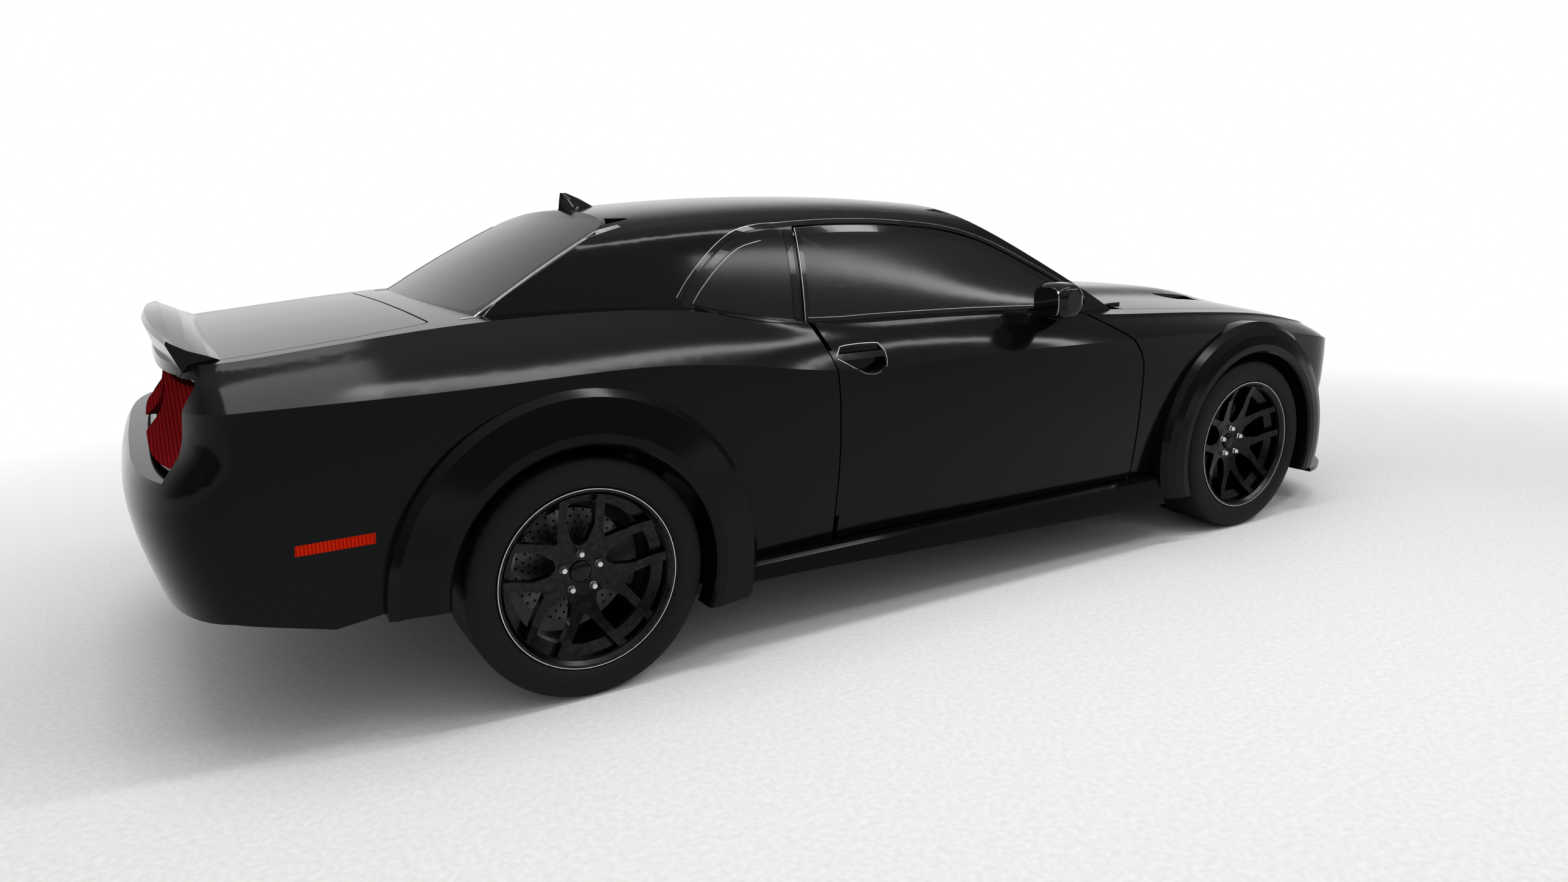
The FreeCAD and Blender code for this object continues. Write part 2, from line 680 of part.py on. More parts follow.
def arm_plate(x, y_in, y_out, half_in, half_out, z0, z1, side, hole):
    """A wishbone, wide inboard and narrow at its ball joint."""
    points = [(x - half_in, side * y_in), (x + half_in, side * y_in),
              (x + half_out, side * y_out), (x - half_out, side * y_out)]
    plate = prism_xy(points, z0, z1)
    plate = plate.fuse(Part.makeCylinder(half_out, z1 - z0, V(x, side * y_out, z0)))
    if hole:
        inner = [(x - half_in + 30, side * (y_in + 22)), (x + half_in - 30, side * (y_in + 22)),
                 (x + half_out + 4, side * (y_out - 60)), (x - half_out - 4, side * (y_out - 60))]
        plate = plate.cut(prism_xy(inner, z0 - 1, z1 + 1))
    return plate


def front_suspension():
    x = FRONT_AXLE_X
    beam = box(x - 85, x + 85, -345, 345, 172, 250)
    pieces = []
    for side in (-1, 1):
        pieces.append(arm_plate(x, 335, KINGPIN_Y, 150, 28, 178, KNUCKLE_BOTTOM - FIT, side, False))
        pieces.append(arm_plate(x, 465 + FIT, KINGPIN_Y, 110, 28, KNUCKLE_TOP + FIT, 544, side, True))
        pieces.append(Part.makeCylinder(30, 803 - 200, V(x, side * 600, 200)))
    for side in (-1, 1):
        y0, y1 = sorted((side * (465 + FIT), side * 488))
        pieces.append(box(x - 110, x + 110, y0, y1, KNUCKLE_TOP + FIT, 544))
    return beam.fuse(pieces).removeSplitter()


def rear_suspension():
    x = REAR_AXLE_X
    beam = box(x - 130, x + 110, -330, 330, 230, 300)
    diff = cylinder_y(x, AXLE_Z, 105, -110, 110).fuse(box(x - 60, x + 60, -330, 330, 290, BOOT_FLOOR_Z - 25 - FIT))
    shaft = cylinder_y(x, AXLE_Z, 18, -720, 720)
    pieces = [diff, shaft]
    for side in (-1, 1):
        y_mid = side * TRACK_HALF
        pieces.append(hub_carrier(x, side))
        pieces.append(arm_plate(x, 300, 740, 130, 34, 230, 256, side, False))
        y0, y1 = sorted((side * 712.0, side * 764.0))
        pieces.append(box(x - 30, x + 30, y0, y1, 235, 470))
        y0, y1 = sorted((side * 740.0, side * 762.0))
        pieces.append(box(x + 20, x + 130, y0, y1, 322, 402))
        pieces.append(caliper(x, y_mid, side, REAR_DISC, 0.0))
    return beam.fuse(pieces).removeSplitter()


def flare(x, outer_radius, side, body):
    """A wheel-arch flare, turned about the axle and laid on the body's side."""
    lip = 398.0
    points = [(lip, 915.0), (lip, FLARE_HALF_WIDTH - 8.0), (lip + 8.0, FLARE_HALF_WIDTH),
              (lip + 34.0, FLARE_HALF_WIDTH), (lip + 72.0, FLARE_HALF_WIDTH - 7.0),
              (outer_radius - FLARE_ROLL, FLARE_EDGE_Y + FLARE_ROLL), (outer_radius, FLARE_EDGE_Y),
              (outer_radius, 905.0),
              (outer_radius - 30.0, 905.0), (lip + 26.0, 915.0)]
    ring = revolve_y([(r, side * w) for r, w in points], x, AXLE_Z)
    ring = ring.cut(body).cut(box(x - 700, x + 700, -1100, 1100, -400, 202))
    if x < 0.0:
        ring = ring.cut(prism_xz(TAIL_UNDERSIDE, OUT, -OUT))
    return only_solids(ring)


def front_frame():
    """Two rails with cross members, and the inner arches over the front wheels."""
    outside, inside = 452.0, 446.0
    pieces = []
    for side in (-1, 1):
        y0, y1 = sorted((side * 400.0, side * 465.0))
        pieces.append(box(935.3, 2300, y0, y1, 430, 560))
        y0, y1 = sorted((side * 460.0, side * 465.0))
        pieces.append(box(FRONT_AXLE_X - outside, FRONT_AXLE_X + outside, y0, y1, 300, 800))
        y0, y1 = sorted((side * 460.0, side * 850.0))
        liner = arch(FRONT_AXLE_X, outside, y0, y1).cut(arch(FRONT_AXLE_X, inside, y0, y1))
        pieces.append(liner.cut(box(0, 3000, -1100, 1100, -200, 300)))
    pieces.append(box(2290, 2329.7, -465, 465, 430, 560))
    pieces.append(box(2215, 2260, -400, 400, 300, 700))
    return pieces[0].fuse(pieces[1:]).removeSplitter()


def floor_pan():
    pan = box(-955, 934.7, -744, 744, 190, 215)
    tunnel = box(-950, 880, -140, 140, 210, 330)
    kick = box(-980, -955, -598, 598, 190, BOOT_FLOOR_Z)
    rear = box(-2140, -960, -559, 559, BOOT_FLOOR_Z - 25, BOOT_FLOOR_Z)
    pads = []
    for x, y in ((800, 700), (800, -700), (-800, 700), (-800, -700)):
        pads.append(box(x - 45, x + 45, y - 30, y + 30, JACK_PAD_Z, 191))
    return pan.fuse([tunnel, kick, rear] + pads).removeSplitter()


def front_seat(side):
    y0, y1 = sorted((side * 170.0, side * 670.0))
    base = box(-300, 150, y0 + 60, y1 - 60, 215.3, 330)
    cushion = prism_xz([(-350, 320), (190, 330), (200, 430), (150, 470), (-300, 440), (-380, 440)],
                       y0, y1, 20.0)
    back = prism_xz([(-300, 400), (-420, 400), (-590, 1000), (-560, 1040), (-490, 1030), (-400, 800),
                     (-330, 560)], y0 + 10, y1 - 10, 18.0)
    head = prism_xz([(-575, 1020), (-590, 1180), (-520, 1180), (-490, 1020)], y0 + 120, y1 - 120, 15.0)
    return base.fuse([cushion, back, head]).removeSplitter()


def rear_bench():
    seat_z = BOOT_FLOOR_Z + FIT
    cushion = prism_xz([(-1250, seat_z), (-975, seat_z), (-962, 590), (-1010, 625), (-1200, 590)],
                       -560, 560, 15.0)
    back = prism_xz([(-1140, 560), (-1250, 560), (-1289.7, 960), (-1270, 1005), (-1225, 1005)],
                    -560, 560, 15.0)
    return cushion.fuse(back).removeSplitter()


def dashboard():
    dash = prism_xz([(884.7, 650), (884.7, 960), (780, 975), (620, 950), (560, 900), (590, 760),
                     (700, 650)], -700, 700, 12.0)
    console = prism_xz([(640, 331), (640, 760), (560, 720), (440, 600), (-250, 560), (-300, 331)],
                       -120, 120, 10.0)
    stub = Part.makeCylinder(28, 160, V(*STEER_CENTRE) + STEER_AXIS * (-24.3), STEER_AXIS * -1.0)
    return dash.fuse([console, stub]).removeSplitter()


STEER_TILT = 24.0
STEER_AXIS = V(-math.cos(math.radians(STEER_TILT)), 0, math.sin(math.radians(STEER_TILT)))
STEER_CENTRE = (440.0, 370.0, 850.0)


def steering_wheel():
    centre = V(*STEER_CENTRE)
    rim_ring = Part.makeTorus(178, 15, centre, STEER_AXIS)
    hub = Part.makeCylinder(55, 48, centre - STEER_AXIS * 24.0, STEER_AXIS)
    bars = []
    for angle in (0.0, 180.0, 270.0):
        bar = box(-16, 16, 40, 176, -7, 7)
        bar.rotate(V(0, 0, 0), V(0, 0, 1), angle - 90.0)
        bars.append(bar)
    group = bars[0].fuse(bars[1:])
    group.Placement = FreeCAD.Placement(centre, FreeCAD.Rotation(V(0, 0, 1), STEER_AXIS))
    return rim_ring.fuse([hub, group]).removeSplitter()


def mirror(side):
    """A door mirror: a rounded head on a stalk from the front of the door's belt."""
    sections = []
    for y, x0, x1, z0, z1 in ((896, 396, 468, 1012, 1080), (925, 358, 484, 988, 1106),
                              (990, 345, 480, 983, 1113), (1046, 352, 466, 992, 1106),
                              (1064, 376, 440, 1016, 1084)):
        pts = [(x0, side * y, z0), (x1, side * y, z0), (x1, side * y, z1), (x0, side * y, z1)]
        sections.append(rounded(pts, min(x1 - x0, z1 - z0) * 0.40))
    head = Part.makeLoft(sections, True, False)
    stalk = prism_xy([(405, side * 930), (470, side * 930), (600, side * 845), (600, side * 815),
                      (480, side * 815)], 984, 1018)
    return head.fuse(stalk)


LID_INSET = 40.0
HOOD_INSET = 60.0
INNER_PANEL = 16.0


def pivot(x, y, z, radius, width):
    return cylinder_y(x, z, radius, y - width / 2.0, y + width / 2.0)


def gooseneck(side):
    """The lid's hinge arm: an arc round the deck's edge and a leg back to its pivot."""
    x, z = LID_HINGE
    y = side * LID_HINGE_Y
    inner, outer = 194.0, 206.0
    sweep = revolve_y([(inner, y - 5), (outer, y - 5), (outer, y + 5), (inner, y + 5)], x, z)
    ends = (math.radians(173.0), math.radians(258.0))
    wedge = [(x, y - 20, z)]
    for k in range(7):
        a = ends[0] + (ends[1] - ends[0]) * k / 6.0
        wedge.append((x + 400.0 * math.cos(a), y - 20, z + 400.0 * math.sin(a)))
    arc = sweep.common(Part.Face(polygon(wedge)).extrude(V(0, 40, 0)))
    leg = box(0, inner + 6, -5, 5, -6, 6)
    leg.rotate(V(0, 0, 0), V(0, 1, 0), -258.0)
    leg.translate(V(x, y, z))
    return arc.fuse([leg, pivot(x, y, z, 12.0, 10.0)]).cut(pivot(x, y, z, 6.0 + FIT, 40.0))


def lid_lug(side):
    x, z = LID_HINGE
    y = side * (LID_HINGE_Y + 12.0)
    lug = box(x - 12, x + 12, y - 5, y + 5, z - 10, 1075)
    y0, y1 = sorted((side * (LID_HINGE_Y - 8.0), side * (LID_HINGE_Y + 12.0)))
    return lug.fuse(cylinder_y(x, z, 6.0, y0, y1))


def hood_arm(side):
    x, z = HOOD_HINGE
    y = side * HOOD_HINGE_Y
    arm = prism_xz([(x - 4, z - 8), (x + 8, z - 8), (x + 98, z), (x + 98, z + 14),
                    (x + 40, z + 14), (x, z + 9)], y - 5, y + 5)
    arm = arm.fuse(pivot(x, y, z, 9.0, 10.0))
    return arm.cut(pivot(x, y, z, 5.0 + FIT, 40.0))


def hood_lug(side):
    x, z = HOOD_HINGE
    y = side * (HOOD_HINGE_Y + 10.5)
    lug = box(x - 9, x + 9, y - 5, y + 5, 925, z + 8)
    y0, y1 = sorted((side * (HOOD_HINGE_Y - 7.0), side * (HOOD_HINGE_Y + 12.0)))
    return lug.fuse(cylinder_y(x, z, 5.0, y0, y1))


def splitter():
    """The lip under the nose: a flat plate with the nose's plan."""
    z0, z1 = SPLITTER_Z
    row = Row(level(-14.0), level(z0), 2506.0, TAIL_X, -10.0, 0.0)
    edge = [p for p in ring(row, 0.0) if p.x > BUMPER_SPLIT_X + 10.0]
    curve = Part.BSplineCurve()
    curve.interpolate(edge)
    back = Part.LineSegment(edge[-1], edge[0]).toShape()
    plate = Part.Face(Part.Wire([curve.toShape(), back])).extrude(V(0, 0, z1 - z0))
    return plate.cut(box(1900, 2250, -780, 780, 100, 200))


def front_bumper(skin, hood_gap):
    front = skin.common(box(BUMPER_SPLIT_X + 10 + FIT, 2700, -1100, 1100, SPLITTER_Z[1], 1100))
    front = front.cut(hood_gap)
    front = front.cut(prism_yz([(-640, 560), (640, 560), (640, 700), (-640, 700)], 2250, 2700, 20.0))
    front = front.cut(prism_yz([(-520, 250), (520, 250), (560, 420), (-560, 420)], 2250, 2700, 20.0))
    front = front.cut(arch(FRONT_AXLE_X, 452 + FIT, OUT, -OUT))
    marker = prism_xz(FRONT_MARKER, OUT, -800)
    return only_solids(front.cut(marker).cut(mirrored(marker)))


def grille():
    """The mesh panels behind both openings of the nose, with slats."""
    panel = box(2395, 2405, -638, 638, 562, 698)
    slats = [box(2400, 2425, -380, 380, z, z + 8) for z in (580, 610, 640, 670)]
    web = box(2330, 2405, -60, 60, 562, 570)
    strip = box(2330, 2340, -60, 60, 410, 570)
    lower = box(2330, 2340, -518, 518, 254, 418)
    return panel.fuse(slats + [web, strip, lower]).removeSplitter()


def bumper_zone():
    """All that belongs to the rear bumper, in the side view."""
    return prism_xz([(-2700, SHELF_Z), (-2132, SHELF_Z), (-2132, 638), (-1905, 621),
                     (-1905, 150), (-2700, 150)], OUT, -OUT)


def tail_recess():
    """The recess for the rear lamps, which follows the tail's plan curve."""
    zone = prism_yz([(-790, SHELF_Z), (790, SHELF_Z), (790, LAMP_TOP_Z), (-790, LAMP_TOP_Z)],
                    -2700, -2150, [0.1, 0.1, 40.0, 40.0])
    return zone.cut(body_block(LAMP_DEPTH))


def rear_lamps(skin):
    lamps = []
    zone = prism_yz([(-776, 785), (-95, 785), (-95, 985), (-776, 985)], -2700, -2150, 60.0)
    lamp = zone.common(body_block(LAMP_FACE)).cut(body_block(LAMP_DEPTH))
    marker = skin.common(prism_xz(REAR_MARKER, OUT, -800))
    for piece in (only_solids(lamp), only_solids(marker)):
        lamps += [piece, mirrored(piece)]
    return Part.makeCompound(lamps)


def front_lamps(skin):
    lamps = []
    for y in (-575, -440, 440, 575):
        lamps.append(Part.makeCylinder(50, 28, V(2405 + FIT, y, 630), V(1, 0, 0)))
    marker = only_solids(skin.common(prism_xz(FRONT_MARKER, OUT, -800)))
    return Part.makeCompound(lamps + [marker, mirrored(marker)])


def shell_cutters(skin, inner, roof):
    """What the body loses all round: hood bay, cabin, windows, boot, arches and tail."""
    ahead = box(935, 2700, -1100, 1100, 0, 870)
    ahead = ahead.fuse([box(935, 2700, 746, 1100, 0, 1200), box(935, 2700, -1100, -746, 0, 1200),
                        grown_xy(HOOD_OUTLINE, PANEL_GAP, 560, 1250, 30.0),
                        box(1100, 2700, -1100, 1100, 0, 1250)])
    low = body_block(SIDE_WALL).common(box(-955, 885, -1000, 1000, 215, 1150))
    low = low.fuse(box(-1290, -950, -SIDE_SPLIT, SIDE_SPLIT, 450, 1150))
    high = cabin_top(ROOF_WALL).cut(beyond_windshield(-34.0)).cut(beyond_rear_glass(-34.0))
    high = high.cut(box(-2000, -1290, -1000, 1000, 0, 1050))
    high = high.cut(box(885, 1400, -1000, 1000, 0, 1200))
    cowl = above_top(-32.0).common(box(930, 1200, -746, 746, 850, 1200)).cut(roof)
    lid_gap = grown_xy(LID_OUTLINE, PANEL_GAP, 900, 1250, 40.0)
    opening = grown_xy(LID_OUTLINE, -32.0, LAMP_TOP_Z, 1250, 20.0)
    boot = box(-2290, -1335, -560, 560, BOOT_FLOOR_Z, 1070).fuse(opening)
    lid_seat = lid_gap.cut(inner.cut(above_top(-SKIN - FIT)))
    return [ahead, low, high, cowl, boot, lid_seat, tail_recess(),
            bumper_zone().common(box(-2700, -2150, -1100, 1100, 0, SHELF_Z)),
            box(-3000, 3000, -1100, 1100, 0, 190)]


def body_shell(outer, cutters, screen_hole, back_hole):
    """The middle of the body: roof panel, cowl, bulkhead, rear shelf and tail."""
    shell = outer.common(box(-2600, 2600, -SIDE_SPLIT, SIDE_SPLIT, 0, 1600))
    for cutter in cutters + [screen_hole, back_hole]:
        shell = shell.cut(cutter)
    shell = shell.cut(box(-2150, -940, -601, 601, 100, BOOT_FLOOR_Z + 1))
    shell = shell.cut(box(-960, 935, -746, 746, 100, 216))
    return only_solids(only_solids(shell).fuse([lid_lug(-1), lid_lug(1)]))


def door_hinges():
    """The body's halves of the right door's hinges."""
    pieces = []
    for z in DOOR_HINGE_Z:
        for z0 in (z - 22, z + 14):
            pieces.append(box(DOOR_HINGE_X - 6, DOOR_HINGE_X + 6, -DOOR_HINGE_Y, -HINGE_POST_Y, z0, z0 + 8))
            pieces.append(Part.makeCylinder(7, 8, V(DOOR_HINGE_X, -DOOR_HINGE_Y, z0)))
        pieces.append(Part.makeCylinder(5, 44, V(DOOR_HINGE_X, -DOOR_HINGE_Y, z - 22)))
    return pieces


def body_side(outer, skin, roof, cutters, screen_hole, back_hole, glass_cut, quarter_cut):
    """The right side of the body: sill, pillars, roof rail and quarter panel."""
    side = outer.common(box(-2600, 2600, OUT, -SIDE_SPLIT - FIT, 0, 1600))
    door_cut = side_prism(DOOR_RUNS, OUT, -850, PANEL_GAP)
    door_cut_in = side_prism(DOOR_RUNS, -850, -600, PANEL_GAP).common(
        box(-700, 812, -900, -500, 0, 1100))
    fender_back = skin.common(side_prism(FENDER_RUNS, OUT, -720, 0.0)).cut(roof)
    hinge_room = prism_xy(HINGE_ROOM, 290, 905)
    low_room = prism_yz(HINGE_ROOM_LOW, 806, 885)
    for cutter in [door_cut, door_cut_in, glass_cut, quarter_cut, fender_back, hinge_room,
                   low_room, screen_hole, back_hole] + cutters:
        side = side.cut(cutter)
    side = side.cut(box(HOOD_HINGE[0] - 16, 1200, -HOOD_HINGE_Y - 18, -HOOD_HINGE_Y + 12, 938, 1100))
    side = side.cut(box(-960, 935, -746, 0, 100, 216))
    side = side.cut(arch(REAR_AXLE_X, 408, OUT, -SIDE_SPLIT))
    side = side.cut(arch(FRONT_AXLE_X, 446, OUT, -SIDE_SPLIT))
    side = side.cut(skin.common(bumper_zone()))
    side = side.cut(prism_xz(TAIL_UNDERSIDE, OUT, 0))
    side = side.cut(prism_xz(SILL_UNDERSIDE, OUT, -850))
    return only_solids(only_solids(side).fuse(door_hinges() + [hood_lug(-1)]))


def right_door(outer, inner):
    door = outer.common(side_prism(DOOR_RUNS, OUT, -DOOR_DEPTH_Y, 0.0))
    door = door.cut(inner.common(box(DOOR_HINGE_X - 40, 1000, OUT, -700, 150, 1100)))
    rear_edge = [(-640, 1060), (-640, 200), (DOOR_FLANGE - 500, 200)]
    rear_edge += [(x + DOOR_FLANGE, z) for x, z in reversed(DOOR_REAR)]
    rear_edge += [(DOOR_FLANGE - 562, 1060)]
    door = door.cut(prism_xz(rear_edge, -905, -700))
    pocket = prism_xz(HANDLE_POCKET, OUT, HANDLE_POCKET_Y, 10.0)
    z0, z1 = HANDLE_BAR_Z
    door = door.cut(pocket.cut(box(-520, -290, OUT, HANDLE_BAR_Y, z0, z1)))
    for z in DOOR_HINGE_Z:
        knuckle = Part.makeCylinder(HINGE_KNUCKLE, 28 - 2 * FIT, V(DOOR_HINGE_X, -DOOR_HINGE_Y, z - 14 + FIT))
        strap = box(DOOR_HINGE_X - 46, DOOR_HINGE_X, -DOOR_HINGE_Y - 3.5, -DOOR_HINGE_Y + 5,
                    z - 12, z + 12)
        door = door.fuse(knuckle.fuse(strap)).cut(
            Part.makeCylinder(5 + FIT, 200, V(DOOR_HINGE_X, -DOOR_HINGE_Y, z - 100)))
    return only_solids(door)


def spoiler(lower):
    """The lip on the lid: hollow in front, with steep ends."""
    sections = []
    middle = [(-2225, 1030), (-2262, 1075), (-2298, 1108), (-2345, 1128), (-2388, 1125),
              (-2398, 1106), (-2374, 1020)]
    end = [(-2202, 1030), (-2258, 1056), (-2305, 1074), (-2334, 1091), (-2349, 1102),
           (-2352, 1092), (-2322, 1018)]
    for y in (-700, -350, 0, 350, 700):
        share = (abs(y) / 700.0) ** 2
        points = [(a[0] + (b[0] - a[0]) * share, y, a[1] + (b[1] - a[1]) * share)
                  for a, b in zip(middle, end)]
        sections.append(polygon(points))
    return only_solids(Part.makeLoft(sections, True, False).cut(lower))


def antenna(roof):
    """A fin that narrows upward to a point at its back."""
    sections = []
    for z, front, back, half in ((1385, -930, -1078, 36), (1405, -945, -1074, 27),
                                 (1432, -992, -1070, 11), (1454, -1044, -1066, 3)):
        middle = 0.35 * front + 0.65 * back
        nose = [(front, 0, z), (0.7 * front + 0.3 * back, 0.55 * half, z), (middle, half, z), (back, 0, z)]
        tail = [(back, 0, z), (middle, -half, z), (0.7 * front + 0.3 * back, -0.55 * half, z),
                (front, 0, z)]
        sections.append(outline(nose, tail))
    return only_solids(Part.makeLoft(sections, True, True).cut(roof))


def main():
    os.makedirs("parts", exist_ok=True)
    parts = {}
    lower, inner, skin, roof, outer = make_body()
    below_skin = inner.cut(above_top(-SKIN - INNER_PANEL))
    under_skin = inner.cut(below_skin)

    # Hood
    hood_zone = grown_xy(HOOD_OUTLINE, 0.0, 700, 1150, 30.0)
    hood_gap = grown_xy(HOOD_OUTLINE, PANEL_GAP, 560, 1250, 30.0)
    frame_zone = grown_xy(HOOD_OUTLINE, -HOOD_INSET, 700, 1150, 30.0)
    frame_zone = frame_zone.cut(box(1180, 2280, -520, 520, 600, 1200))
    hood = skin.common(hood_zone).fuse(under_skin.common(frame_zone))
    vent = prism_xy(VENT, 700, 1150, 12.0)
    vent_wall = grown_xy(VENT, 6.0, 700, 1150, 12.0)
    sunk = vent.common(above_top(-VENT_DEPTH))
    for cutter, wall in ((sunk, vent_wall), (mirrored(sunk), mirrored(vent_wall))):
        hood = hood.fuse(under_skin.common(wall)).cut(cutter)
    hood = hood.fuse([hood_arm(-1), hood_arm(1)])
    parts["hood"] = only_solids(hood)

    # Fenders
    fender = skin.common(side_prism(FENDER_RUNS, OUT, -300, 0.0))
    fender = fender.cut(side_prism(DOOR_RUNS, OUT, -300, DOOR_FRONT_GAP))
    fender = fender.cut(hood_gap).cut(roof).cut(arch(FRONT_AXLE_X, 425, OUT, -300))
    fender = fender.cut(box(600, 1100, -746, 746, 800, 1200))
    parts["front_fenders"] = both(only_solids(fender))

    # Bumper covers
    parts["front_bumper"] = front_bumper(skin, hood_gap)
    parts["front_splitter"] = only_solids(splitter())
    shelf = lower.common(box(-2700, -2330, -790, 790, SHELF_Z - 8, SHELF_Z))
    rear = skin.common(bumper_zone()).fuse(shelf)
    marker = prism_xz(REAR_MARKER, OUT, -800)
    rear = rear.cut(arch(REAR_AXLE_X, 420, OUT, -OUT)).cut(prism_xz(TAIL_UNDERSIDE, OUT, -OUT))
    parts["rear_bumper"] = only_solids(rear.cut(marker).cut(mirrored(marker)))

    # Body
    glass_cut = side_prism(DOOR_GLASS_RUNS, OUT, -450, PANEL_GAP)
    quarter_cut = side_prism(QUARTER_GLASS_RUNS, OUT, -450, 0.0)
    screen_hole = prism_yz([(-690, 1012), (690, 1012), (560, 1372), (-560, 1372)], 150, 1300, 45.0)
    back_hole = prism_yz([(-618, 1112), (618, 1112), (520, 1368), (-520, 1368)], -1800, -900, 45.0)
    cutters = shell_cutters(skin, inner, roof)
    parts["body_shell"] = body_shell(outer, cutters, screen_hole, back_hole)
    parts["body_sides"] = both(body_side(outer, skin, roof, cutters, screen_hole, back_hole,
                                         glass_cut, quarter_cut))
    parts["floor_pan"] = floor_pan()

    # Doors and glass
    door = right_door(outer, inner)
    parts["door_right"] = door
    parts["door_left"] = mirrored(door)
    glass_skin = roof.cut(cabin_top(GLASS))
    pane = only_solids(glass_skin.common(side_prism(DOOR_GLASS_RUNS, OUT, -450, 0.0)))
    parts["door_glass_right"] = pane
    parts["door_glass_left"] = mirrored(pane)
    parts["quarter_glass"] = both(only_solids(glass_skin.common(quarter_cut)))
    parts["windshield"] = only_solids(roof.common(screen_hole).common(beyond_windshield(-GLASS)))
    parts["rear_glass"] = only_solids(roof.common(back_hole).common(beyond_rear_glass(-GLASS)))
    parts["mirror_right"] = only_solids(mirror(-1).cut(outer))
    parts["mirror_left"] = mirrored(parts["mirror_right"])

    # Trunk lid and spoiler
    lid_zone = grown_xy(LID_OUTLINE, 0.0, 900, 1250, 40.0)
    lid_zone = lid_zone.cut(box(LID_FRONT_X - (LID_FRONT_GAP - PANEL_GAP), LID_FRONT_X + 1,
                                -900, 900, 800, 1300))
    lid_inner = grown_xy(LID_OUTLINE, -LID_INSET, 900, 1250, 20.0)
    lid = skin.common(lid_zone).common(box(-2600, -1500, -900, 900, LAMP_TOP_Z + 4 + FIT, 1300))
    lid = lid.fuse(under_skin.common(lid_inner))
    lid = lid.fuse([gooseneck(-1), gooseneck(1)])
    parts["trunk_lid"] = only_solids(lid)
    parts["rear_spoiler"] = spoiler(lower)

    # Lamps, grille, skirts
    parts["grille"] = grille()
    parts["front_lamps"] = front_lamps(skin)
    parts["rear_lamps"] = rear_lamps(skin)
    front_flare = flare(FRONT_AXLE_X, FRONT_FLARE, -1, lower)
    rear_flare = flare(REAR_AXLE_X, REAR_FLARE, -1, lower)
    parts["wheel_flares"] = Part.makeCompound([front_flare, mirrored(front_flare),
                                               rear_flare, mirrored(rear_flare)])
    skirt = prism_yz([(-860, 168), (-948, 168), (-972, 184), (-950, 285), (-935, 294), (-860, 294)],
                     -900, 1105)
    skirt = skirt.cut(lower).cut(prism_xz([(-1000, 100), (-1000, 247), (1200, 178), (1200, 100)], OUT, 0))
    skirt = skirt.cut(arch(FRONT_AXLE_X, FRONT_FLARE + FIT, OUT, 0))
    skirt = skirt.cut(arch(REAR_AXLE_X, REAR_FLARE + FIT, OUT, 0))
    parts["side_skirts"] = both(only_solids(skirt))
    parts["antenna"] = antenna(roof)

    # Interior and mechanics
    parts["dashboard"] = dashboard()
    parts["steering_wheel"] = steering_wheel()
    parts["front_seats"] = Part.makeCompound([front_seat(-1), front_seat(1)])
    parts["rear_bench"] = rear_bench()
    parts["engine"] = box(1050, 1650, -265, 265, 250 + FIT, 800)
    parts["front_frame"] = front_frame()
    parts["front_suspension"] = front_suspension()
    parts["rear_suspension"] = rear_suspension()
    pipes = []
    for side in (-1, 1):
        pipes.append(Part.makeCylinder(30, 1900, V(-950, side * 200, 159.7), V(1, 0, 0)))
    parts["exhaust"] = Part.makeCompound(pipes)

    # Wheels and knuckles
    wheel_rim = rim(FRONT_AXLE_X, -TRACK_HALF, -1)
    for end, x, disc_radius in (("front", FRONT_AXLE_X, FRONT_DISC), ("rear", REAR_AXLE_X, REAR_DISC)):
        move = V(x - FRONT_AXLE_X, 0, 0)
        right_rim = wheel_rim.translated(move)
        right_tyre = tyre(x, -TRACK_HALF, -1)
        right_disc = brake_disc(x, -TRACK_HALF, -1, disc_radius)
        for name, shape in (("rim", right_rim), ("tyre", right_tyre), ("brake_disc", right_disc)):
            parts["%s_%s_right" % (name, end)] = shape
            parts["%s_%s_left" % (name, end)] = mirrored(shape)
    parts["knuckle_front_right"] = front_knuckle(-1)
    parts["knuckle_front_left"] = front_knuckle(1)

    for name, shape in parts.items():
        print(name, shape.isValid(), len(shape.Solids), round(shape.Volume / 1e6, 1))
        save(name, shape)


main()
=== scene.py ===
"""Looks of the two-door muscle car: camera, studio, materials and the small pieces on it."""
import bpy
import json
import math
from mathutils import Matrix, Vector
from mathutils.bvhtree import BVHTree


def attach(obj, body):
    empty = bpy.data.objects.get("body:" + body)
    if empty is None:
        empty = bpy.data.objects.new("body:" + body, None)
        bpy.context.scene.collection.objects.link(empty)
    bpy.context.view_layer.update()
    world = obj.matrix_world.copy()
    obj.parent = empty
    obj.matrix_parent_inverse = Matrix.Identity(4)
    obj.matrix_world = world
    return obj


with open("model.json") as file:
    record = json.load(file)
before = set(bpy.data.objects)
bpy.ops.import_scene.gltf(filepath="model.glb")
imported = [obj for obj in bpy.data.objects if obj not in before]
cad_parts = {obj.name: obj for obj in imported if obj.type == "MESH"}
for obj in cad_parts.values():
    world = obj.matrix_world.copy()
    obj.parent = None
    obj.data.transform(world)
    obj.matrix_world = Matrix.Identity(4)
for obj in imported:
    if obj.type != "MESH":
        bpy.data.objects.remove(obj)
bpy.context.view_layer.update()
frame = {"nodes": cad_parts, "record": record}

nodes = frame["nodes"]
scene = bpy.context.scene

# The photograph's frame, in pixels
PHOTO_WIDTH = 2576
FOCAL_PIXELS = 1728.0

# Camera place and clipping in metres, angles in degrees, sensor in millimetres
CAMERA_PLACE = (-2.367, -3.716, 1.418)
CAMERA_YAW = 30.78
CAMERA_PITCH = -12.94
CAMERA_ROLL = -1.03
CAMERA_CLIP = (0.05, 200.0)
SENSOR = 36.0

# Wheel places in metres, as in the frame's joints
FRONT_AXLE_X = 1.565
REAR_AXLE_X = -1.386
AXLE_Z = 0.361
TRACK_HALF = 0.828

